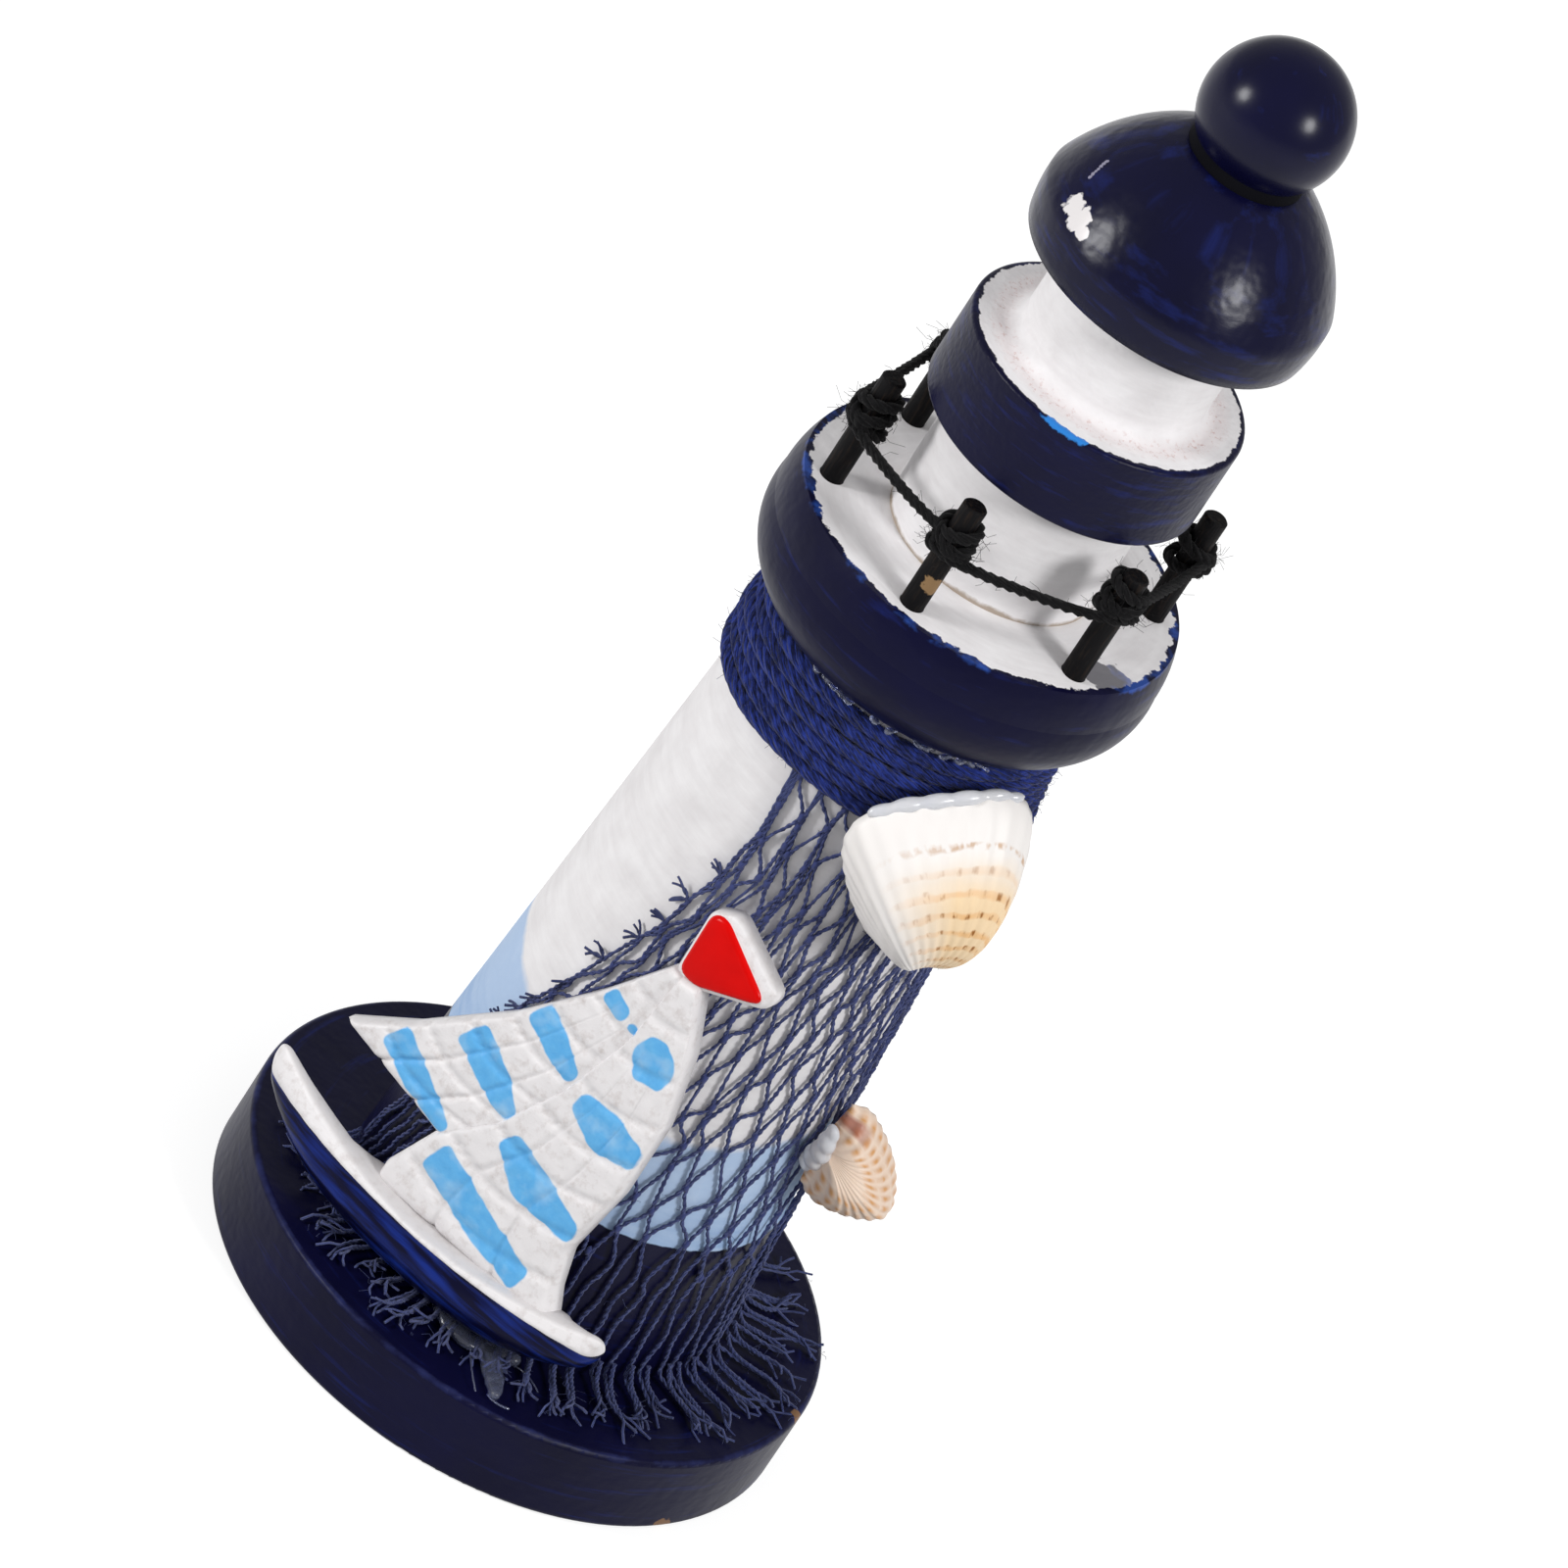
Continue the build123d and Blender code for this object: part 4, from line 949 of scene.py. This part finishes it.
# Navy acrylic is dragged along the hull in streaks that run from thick to thin
STREAKED = {"Roughness": 0.28, "Specular IOR Level": 0.1}
hull_paint, tree, shader = new_finish("navy acrylic paint on the cast hull", STREAKED)
place = measured(tree)
stretched = add(tree, "Mapping", {0: place, "Scale": (12 / 100, 12 / 100, 14 / 10)})
streak = add(tree, "TexNoise", {"Vector": stretched, "Scale": 1.0, "Detail": 4.0})
thin = add(tree, "MapRange", {"Value": streak, "From Min": 0.45, "From Max": 0.68})
colour = add(tree, "Mix", {"Factor": thin, "A": linear("#080928"), "B": linear("#172c7c")}, data_type="RGBA")
feed(tree, shader, {"Base Color": colour})
bump = add(tree, "Bump", {"Strength": 0.4, "Distance": 0.1 * mm, "Height": streak})
feed(tree, shader, {"Normal": bump})
# Red enamel flows out smooth, so the pennant is one even, shiny colour
ENAMEL = {"Roughness": 0.25, "Specular IOR Level": 0.1}
red_paint, tree, shader = new_finish("red enamel on the cast pennant", ENAMEL)
shade = add(tree, "TexNoise", {"Vector": measured(tree), "Scale": 5 / 10, "Detail": 4.0})
colour = add(tree, "Mix", {"Factor": shade, "A": linear("#cc0000"), "B": linear("#de0603")}, data_type="RGBA")
feed(tree, shader, {"Base Color": colour})
place_piece("sailboat_cast", mesh, [resin, hull_paint, red_paint], "painted_resin", "sailboat")

# Shells
# Two natural bivalve shells, a broad cockle under the collar and a small one at the tower's right
# side. Ribs fan out from the beak, growth lines cross them, and tan marks follow both.


def valve_frame(bearing, level, stand, facing, nod, roll):
    """Matrix of a valve's rim: X across it, Y from beak to margin, Z outwards."""
    tilt = math.radians(nod)
    face = around(facing, 1.0, 0.0) / mm * math.cos(tilt) + Vector((0, 0, math.sin(tilt)))
    level_way = around(facing + 90.0, 1.0, 0.0) / mm
    up_way = face.cross(level_way)
    turn = math.radians(roll)
    across = level_way * math.cos(turn) + up_way * math.sin(turn)
    along = up_way * math.cos(turn) - level_way * math.sin(turn)
    origin = around(bearing, tower_side(level) + stand, level)
    return axes_at(origin, across, along, face)


# Turn of the growth rings between beak and margin, in radians
GROWTH_TURN = 41.9


def valve(name, where, beak, outline, depth, ribs, rib_height, wall):
    """Ribbed valve: a grid fanned out from the beak to the margin, domed, crimped and given its thickness."""
    rim = smooth_route([Vector((across, along, 0.0)) * mm for across, along in outline], fineness=8)
    root = Vector((*beak, 0.0)) * mm
    longest = max((point - root).length for point in rim)
    build = bmesh.new()
    bmesh.ops.create_grid(build, x_segments=ribs * 6, y_segments=64, size=0.5)
    uv_layer = build.loops.layers.uv.new("UVMap")
    for face in build.faces:
        for loop in face.loops:
            loop[uv_layer].uv = (loop.vert.co.x + 0.5, loop.vert.co.y + 0.5)
    relief = {}
    for vertex in build.verts:
        fan, out = vertex.co.x + 0.5, 0.01 + 0.99 * (vertex.co.y + 0.5)
        edge = between(rim, fan) - root
        dome = math.sin(math.pi * min(1.0, out) ** 0.8) ** 0.7 if out < 1.0 else 0.0
        closed = min(1.0, 7.0 * fan, 7.0 * (1.0 - fan)) ** 0.5
        rise = depth * mm * dome * closed * (edge.length / longest) ** 0.6
        rings = 0.5 * math.sin(out * GROWTH_TURN) + 0.8 * noise.noise(Vector((out * 11.0, fan * 2.0, 1.0)))
        crimp = math.cos(2 * math.pi * ribs * fan) * min(1.0, 1.7 * out)
        relief[vertex.index] = rib_height * mm * (crimp + 0.7 * rings * out)
        vertex.co = root + edge * out + Vector((0, 0, rise))
    build.normal_update()
    build.verts.index_update()
    crown = max(build.verts, key=lambda vertex: vertex.co.z)
    if crown.normal.z < 0:
        bmesh.ops.reverse_faces(build, faces=build.faces)
        build.normal_update()
    for vertex in build.verts:
        vertex.co += vertex.normal * relief[vertex.index]
    bmesh.ops.solidify(build, geom=build.faces[:], thickness=wall * mm)
    bmesh.ops.transform(build, matrix=where, verts=build.verts)
    bmesh.ops.recalc_face_normals(build, faces=build.faces)
    return finished(build, name)


LARGE_RIBS = 27
large_where = valve_frame(bearing=42.0, level=74.4, stand=2.5, facing=37.5, nod=-2.4, roll=24.0)
large_outline = (
    (0.2, -10.1), (3.2, -9.1), (6.0, -6.0), (8.0, -1.2), (8.8, 4.0), (8.3, 7.4), (5.4, 9.4), (0.0, 9.8),
    (-5.4, 9.6), (-8.4, 8.0), (-9.3, 5.0), (-8.8, 1.6), (-7.6, -3.0), (-5.6, -7.8), (-3.6, -9.9),
)
mesh = valve(
    "large_shell_valve", large_where, (-1.7, -9.8), large_outline,
    depth=7.9, ribs=LARGE_RIBS, rib_height=0.07, wall=0.7,
)
# Chalky lime, worn smooth by the sea, with a weak, broad sheen over its ribs
cockle, tree, shader = new_finish("cockle shell", {"Roughness": 0.5, "Specular IOR Level": 0.3})
chart = add(tree, "TexCoord", {}).outputs["UV"]
parts = add(tree, "SeparateXYZ", {0: chart})
cloud = add(tree, "TexNoise", {"Vector": chart, "Scale": 12.0, "Detail": 4.0})
drift = add(tree, "Math", {0: cloud, 1: 0.07, 2: -0.035}, operation="MULTIPLY_ADD")
out = add(tree, "Math", {0: parts.outputs["Y"], 1: drift}, operation="ADD")
inner = add(tree, "MapRange", {"Value": out, "From Min": 0.84, "From Max": 0.64})
right_part = add(tree, "MapRange", {"Value": parts.outputs["X"], "From Min": 0.68, "From Max": 0.5})
cream = add(tree, "Math", {0: inner, 1: right_part}, operation="MULTIPLY")
colour = add(tree, "Mix", {"Factor": cream, "A": linear("#f1edea"), "B": linear("#f6dab2")}, data_type="RGBA")
# Growth bands lie 0.095 of the way from beak to margin apart
phase = add(tree, "Math", {0: out, 1: 66.1, 2: -44.1}, operation="MULTIPLY_ADD")
wave = add(tree, "Math", {0: phase}, operation="COSINE")
band = add(tree, "MapRange", {"Value": wave, "From Min": 0.2, "From Max": 0.9})
band = add(tree, "Math", {0: band, 1: cream}, operation="MULTIPLY")
tint = add(tree, "Math", {0: band, 1: cloud}, operation="MULTIPLY")
colour = add(tree, "Mix", {"Factor": tint, "A": colour, "B": linear("#ecb26c")}, data_type="RGBA")
rib_phase = add(tree, "Math", {0: parts.outputs["X"], 1: 2 * math.pi * LARGE_RIBS}, operation="MULTIPLY")
groove = add(tree, "Math", {0: rib_phase}, operation="COSINE")
groove = add(tree, "MapRange", {"Value": groove, "From Min": 0.1, "From Max": -0.7})
speck_chart = add(tree, "Mapping", {0: chart, "Scale": (54.0, 14.0, 1.0)})
speck = add(tree, "TexNoise", {"Vector": speck_chart, "Scale": 1.0, "Detail": 2.0})
speck = add(tree, "MapRange", {"Value": speck, "From Min": 0.44, "From Max": 0.58})
dash = add(tree, "Math", {0: groove, 1: speck}, operation="MULTIPLY")
mark = add(tree, "Math", {0: dash, 1: band}, operation="MULTIPLY")
colour = add(tree, "Mix", {"Factor": mark, "A": colour, "B": linear("#9a6226")}, data_type="RGBA")
ring = near(tree, out, middle=0.85, far=0.016, close=0.004)
ring = add(tree, "Math", {0: ring, 1: speck}, operation="MULTIPLY")
ring = add(tree, "Math", {0: ring, 1: right_part}, operation="MULTIPLY")
ring = add(tree, "Math", {0: ring, 1: 0.7}, operation="MULTIPLY")
colour = add(tree, "Mix", {"Factor": ring, "A": colour, "B": linear("#bd8c55")}, data_type="RGBA")
feed(tree, shader, {"Base Color": colour})
bump = add(tree, "Bump", {"Strength": 0.4, "Distance": 0.1 * mm, "Height": cloud})
feed(tree, shader, {"Normal": bump})
place_piece("large_shell_valve", mesh, [cockle], "shell", "large_shell")

SMALL_RIBS = 17
small_where = valve_frame(bearing=76.0, level=38.0, stand=3.9, facing=41.0, nod=5.0, roll=-150.0)
small_outline = (
    (-0.2, -7.2), (-1.7, -6.4), (-2.7, -4.0), (-3.6, -0.8), (-4.0, 1.8), (-3.9, 4.8),
    (-3.2, 7.2), (-1.2, 7.2), (1.4, 6.0), (3.6, 4.2), (5.0, 2.4), (5.3, 0.4),
)
mesh = valve(
    "small_shell_valve", small_where, (3.2, -3.8), small_outline,
    depth=5.6, ribs=SMALL_RIBS, rib_height=0.085, wall=0.6,
)
# A fresher shell than the cockle, a little shinier, with tan dashes along the crests of its ribs
small_finish, tree, shader = new_finish("small ribbed shell", {"Roughness": 0.45, "Specular IOR Level": 0.35})
chart = add(tree, "TexCoord", {}).outputs["UV"]
parts = add(tree, "SeparateXYZ", {0: chart})
cloud = add(tree, "TexNoise", {"Vector": chart, "Scale": 9.0, "Detail": 3.0})
colour = add(tree, "Mix", {"Factor": cloud, "A": linear("#efdccb"), "B": linear("#e9cdb6")}, data_type="RGBA")
rib_phase = add(tree, "Math", {0: parts.outputs["X"], 1: 2 * math.pi * SMALL_RIBS}, operation="MULTIPLY")
crest = add(tree, "Math", {0: rib_phase}, operation="COSINE")
crest = add(tree, "MapRange", {"Value": crest, "From Min": -0.9, "From Max": 0.9})
drift = add(tree, "Math", {0: cloud, 1: 0.16, 2: -0.08}, operation="MULTIPLY_ADD")
out = add(tree, "Math", {0: parts.outputs["Y"], 1: drift}, operation="ADD")
for middle in (0.42, 0.64, 0.86):
    ring = near(tree, out, middle, far=0.11, close=0.0, most=0.85)
    dash = add(tree, "Math", {0: ring, 1: crest}, operation="MULTIPLY")
    colour = add(tree, "Mix", {"Factor": dash, "A": colour, "B": linear("#cf8c34")}, data_type="RGBA")
start = add(tree, "MapRange", {"Value": parts.outputs["X"], "From Min": 0.14, "From Max": 0.06})
half_way = near(tree, out, middle=0.68, far=0.16, close=0.08)
blush = add(tree, "Math", {0: start, 1: half_way}, operation="MULTIPLY")
blush = add(tree, "Math", {0: blush, 1: 0.8}, operation="MULTIPLY")
colour = add(tree, "Mix", {"Factor": blush, "A": colour, "B": linear("#a85c48")}, data_type="RGBA")
feed(tree, shader, {"Base Color": colour})
place_piece("small_shell_valve", mesh, [small_finish], "shell", "small_shell")

# Hot-melt glue
# Milky, see-through lumps pressed behind each shell and under the hull, with a few fine strings
# drawn out as the gun was pulled away.


def glue_lump(name, where, blobs, strings=()):
    """Lump that flows together from round blobs, each a place in a frame and its three half sizes."""
    build = bmesh.new()
    for centre, sizes in blobs:
        spread = Matrix.Diagonal((*[size * mm for size in sizes], 1.0))
        shape = where @ Matrix.Translation(Vector(centre) * mm) @ spread
        bmesh.ops.create_icosphere(build, subdivisions=3, radius=1.0, matrix=shape)
    mesh = finished(build, name)
    holder = bpy.data.objects.new(name, mesh)
    bpy.context.scene.collection.objects.link(holder)
    flow = holder.modifiers.new("flow", "REMESH")
    flow.mode = "VOXEL"
    flow.voxel_size = 0.22 * mm
    settle = holder.modifiers.new("settle", "SMOOTH")
    settle.iterations = 6
    shown = holder.evaluated_get(bpy.context.evaluated_depsgraph_get())
    lump = bpy.data.meshes.new_from_object(shown)
    bpy.data.objects.remove(holder)
    bpy.data.meshes.remove(mesh)
    if strings:
        merge_in(lump, strand_mesh(name, [smooth_route(points) for points in strings], radius=0.09 * mm))
    return lump


def melt(name, clear, dark, light):
    """Set hot-melt glue, as clear as its share of light let through."""
    material, tree, shader = new_finish(name, {"Roughness": 0.22, "IOR": 1.48, "Transmission Weight": clear})
    milk = add(tree, "TexNoise", {"Vector": measured(tree), "Scale": 6 / 10, "Detail": 3.0})
    colour = add(tree, "Mix", {"Factor": milk, "A": linear(dark), "B": linear(light)}, data_type="RGBA")
    feed(tree, shader, {"Base Color": colour})
    return material


milky_glue = melt("milky hot-melt glue", 0.35, "#e4e7f0", "#fafafc")
clear_glue = melt("clear hot-melt glue", 0.92, "#aeb9e6", "#dfe5fa")

blobs = (
    ((0.0, 0.0, 1.0), (4.6, 4.6, 4.6)),
    ((-5.6, 8.8, 0.2), (1.8, 0.8, 0.7)),
    ((-3.4, 9.2, 0.3), (2.0, 0.9, 0.8)),
    ((-0.8, 9.3, 0.4), (2.2, 0.9, 0.8)),
    ((1.8, 9.2, 0.4), (2.2, 0.9, 0.8)),
    ((4.4, 8.9, 0.2), (1.9, 0.8, 0.7)),
    ((6.4, 8.2, 0.1), (1.3, 0.7, 0.6)),
)
mesh = glue_lump("large_shell_lump", large_where, blobs)
place_piece("large_shell_lump", mesh, [milky_glue], "hot_glue", "large_shell_glue")

blobs = (
    ((1.6, -0.8, 0.0), (1.9, 1.9, 1.6)),
    ((2.6, -6.4, 2.0), (0.6, 1.0, 0.9)),
    ((3.2, -5.2, 1.8), (0.9, 1.2, 1.1)),
    ((3.6, -3.8, 1.3), (1.0, 1.3, 1.2)),
    ((3.9, -2.4, 0.4), (1.1, 1.4, 1.3)),
    ((3.7, -1.0, -0.6), (1.4, 1.5, 1.5)),
    ((2.8, 0.6, -1.4), (1.6, 1.6, 1.6)),
)
mesh = glue_lump("small_shell_lump", small_where, blobs)
place_piece("small_shell_lump", mesh, [milky_glue], "hot_glue", "small_shell_glue")

chance = random.Random(31)
blobs = []
# Runs of glue as bearing, distance from the axis and half width. Two lie along the hull, and one
# is drawn out over the base.
glue_runs = (
    ((-10.0, 20.8, 0.9), (-5.5, 21.9, 1.2), (-0.5, 22.4, 1.3), (2.0, 22.7, 0.9)),
    ((3.0, 21.0, 0.9), (6.0, 21.8, 1.2), (10.3, 21.6, 1.0), (13.0, 21.7, 0.7)),
    ((6.0, 21.8, 1.2), (7.2, 23.6, 1.3), (9.0, 25.6, 1.1), (10.0, 27.2, 0.8), (10.2, 28.4, 0.5)),
)
for run in glue_runs:
    for here, there in zip(run, run[1:]):
        for step in range(4):
            bearing, reach, width = Vector(here).lerp(Vector(there), step / 4)
            middle = around(bearing, reach, BASE_TOP + chance.uniform(0.5, 0.75)) / mm
            blobs.append((middle, (width, width, 0.6)))
# Fine strings as bearing, distance from the axis and height over the base
glue_strings = (
    ((1.9, 23.2, 0.4), (3.4, 26.6, 1.2), (6.6, 28.6, 0.4)),
    ((9.0, 28.2, 0.4), (10.6, 29.7, 0.9), (13.4, 29.2, 0.8)),
    ((13.2, 22.2, 0.4), (16.4, 23.0, 1.0), (19.4, 24.6, 0.5)),
)
strings = [[around(turn, away, BASE_TOP + rise) for turn, away, rise in string] for string in glue_strings]
mesh = glue_lump("boat_bead", Matrix.Identity(4), blobs, strings)
place_piece("boat_bead", mesh, [clear_glue], "hot_glue", "boat_glue")

# Thin runs of glue shine in the joint between the collar and the gallery
COLLAR_DROPS = 26
blobs = []
for step in range(COLLAR_DROPS):
    bearing = -28.0 + 2.9 * step + chance.uniform(-1.2, 1.2)
    spot = around(bearing, chance.uniform(15.9, 16.5), chance.uniform(85.7, 86.5)) / mm
    width = chance.uniform(0.25, 0.6)
    blobs.append((spot, (width, width, chance.uniform(0.2, 0.4))))
mesh = glue_lump("collar_glue_run", Matrix.Identity(4), blobs)
place_piece("collar_glue_run", mesh, [clear_glue], "hot_glue")

# Stage
# A pale floor, two soft lamps at the left and right of the camera, and the camera at the
# photograph's place, rolled so that the tower leans to the right.
FLOOR_GLOW = 0.72
SKY_GLOW = 0.48
floor_build = bmesh.new()
bmesh.ops.create_grid(floor_build, x_segments=1, y_segments=1, size=3.0)
floor_mesh = finished(floor_build, "floor")
floor = bpy.data.objects.new("floor", floor_mesh)
bpy.context.scene.collection.objects.link(floor)
paper = bpy.data.materials.new("white paper floor")
paper.use_nodes = True
tree = paper.node_tree
tree.nodes.clear()
ray = add(tree, "LightPath", {})
seen = ray.outputs["Is Camera Ray"]
for kind in ("Is Glossy Ray", "Is Transmission Ray"):
    seen = add(tree, "Math", {0: seen, 1: ray.outputs[kind]}, operation="MAXIMUM")
strength = add(tree, "Math", {0: seen, 1: FLOOR_GLOW}, operation="MULTIPLY")
glow = add(tree, "Emission", {"Color": linear("#ffffff"), "Strength": strength})
dull = add(tree, "BsdfDiffuse", {"Color": linear("#b0b0b0")})
both = add(tree, "AddShader", {0: glow, 1: dull})
add(tree, "OutputMaterial", {0: both})
floor_mesh.materials.append(paper)

world = bpy.context.scene.world or bpy.data.worlds.new("studio")
bpy.context.scene.world = world
world.use_nodes = True
tree = world.node_tree
feed(tree, tree.nodes["Background"], {"Color": linear("#ffffff"), "Strength": SKY_GLOW})

MIDDLE = Vector((0.0, 0.0, 0.08))
for name, way, reach, size, watts in (
    ("left softbox", Vector((-0.81, -0.46, 0.37)), 0.7, 0.18, 2.7),
    ("right softbox", Vector((0.69, -0.42, 0.59)), 0.7, 0.18, 2.7),
):
    lamp = bpy.data.lights.new(name, "AREA")
    lamp.shape = "DISK"
    lamp.size = size
    lamp.energy = watts
    holder = bpy.data.objects.new(name, lamp)
    holder.location = MIDDLE + way.normalized() * reach
    holder.rotation_euler = (-way).to_track_quat("-Z", "Y").to_euler()
    bpy.context.scene.collection.objects.link(holder)

EYE = Vector((0.0, -1.15687, 0.79849))
YAW, PITCH, ROLL = math.radians(-0.190), math.radians(32.384), math.radians(33.396)
FOCAL_PIXELS = 15283.7
FRAME_PIXELS = 1600.0
forward = Vector((math.sin(YAW) * math.cos(PITCH), math.cos(YAW) * math.cos(PITCH), -math.sin(PITCH)))
level_right = Vector((math.cos(YAW), -math.sin(YAW), 0.0))
level_up = level_right.cross(forward)
right = level_right * math.cos(ROLL) + level_up * math.sin(ROLL)
up = level_up * math.cos(ROLL) - level_right * math.sin(ROLL)
lens = bpy.data.cameras.new("camera")
lens.sensor_width = 36.0
lens.lens = lens.sensor_width * FOCAL_PIXELS / FRAME_PIXELS
lens.clip_start, lens.clip_end = 0.1, 20.0
camera = bpy.data.objects.new("camera", lens)
camera.matrix_world = axes_at(EYE, right, up, -forward)
bpy.context.scene.collection.objects.link(camera)
bpy.context.scene.camera = camera
bpy.context.scene.view_settings.view_transform = "Standard"
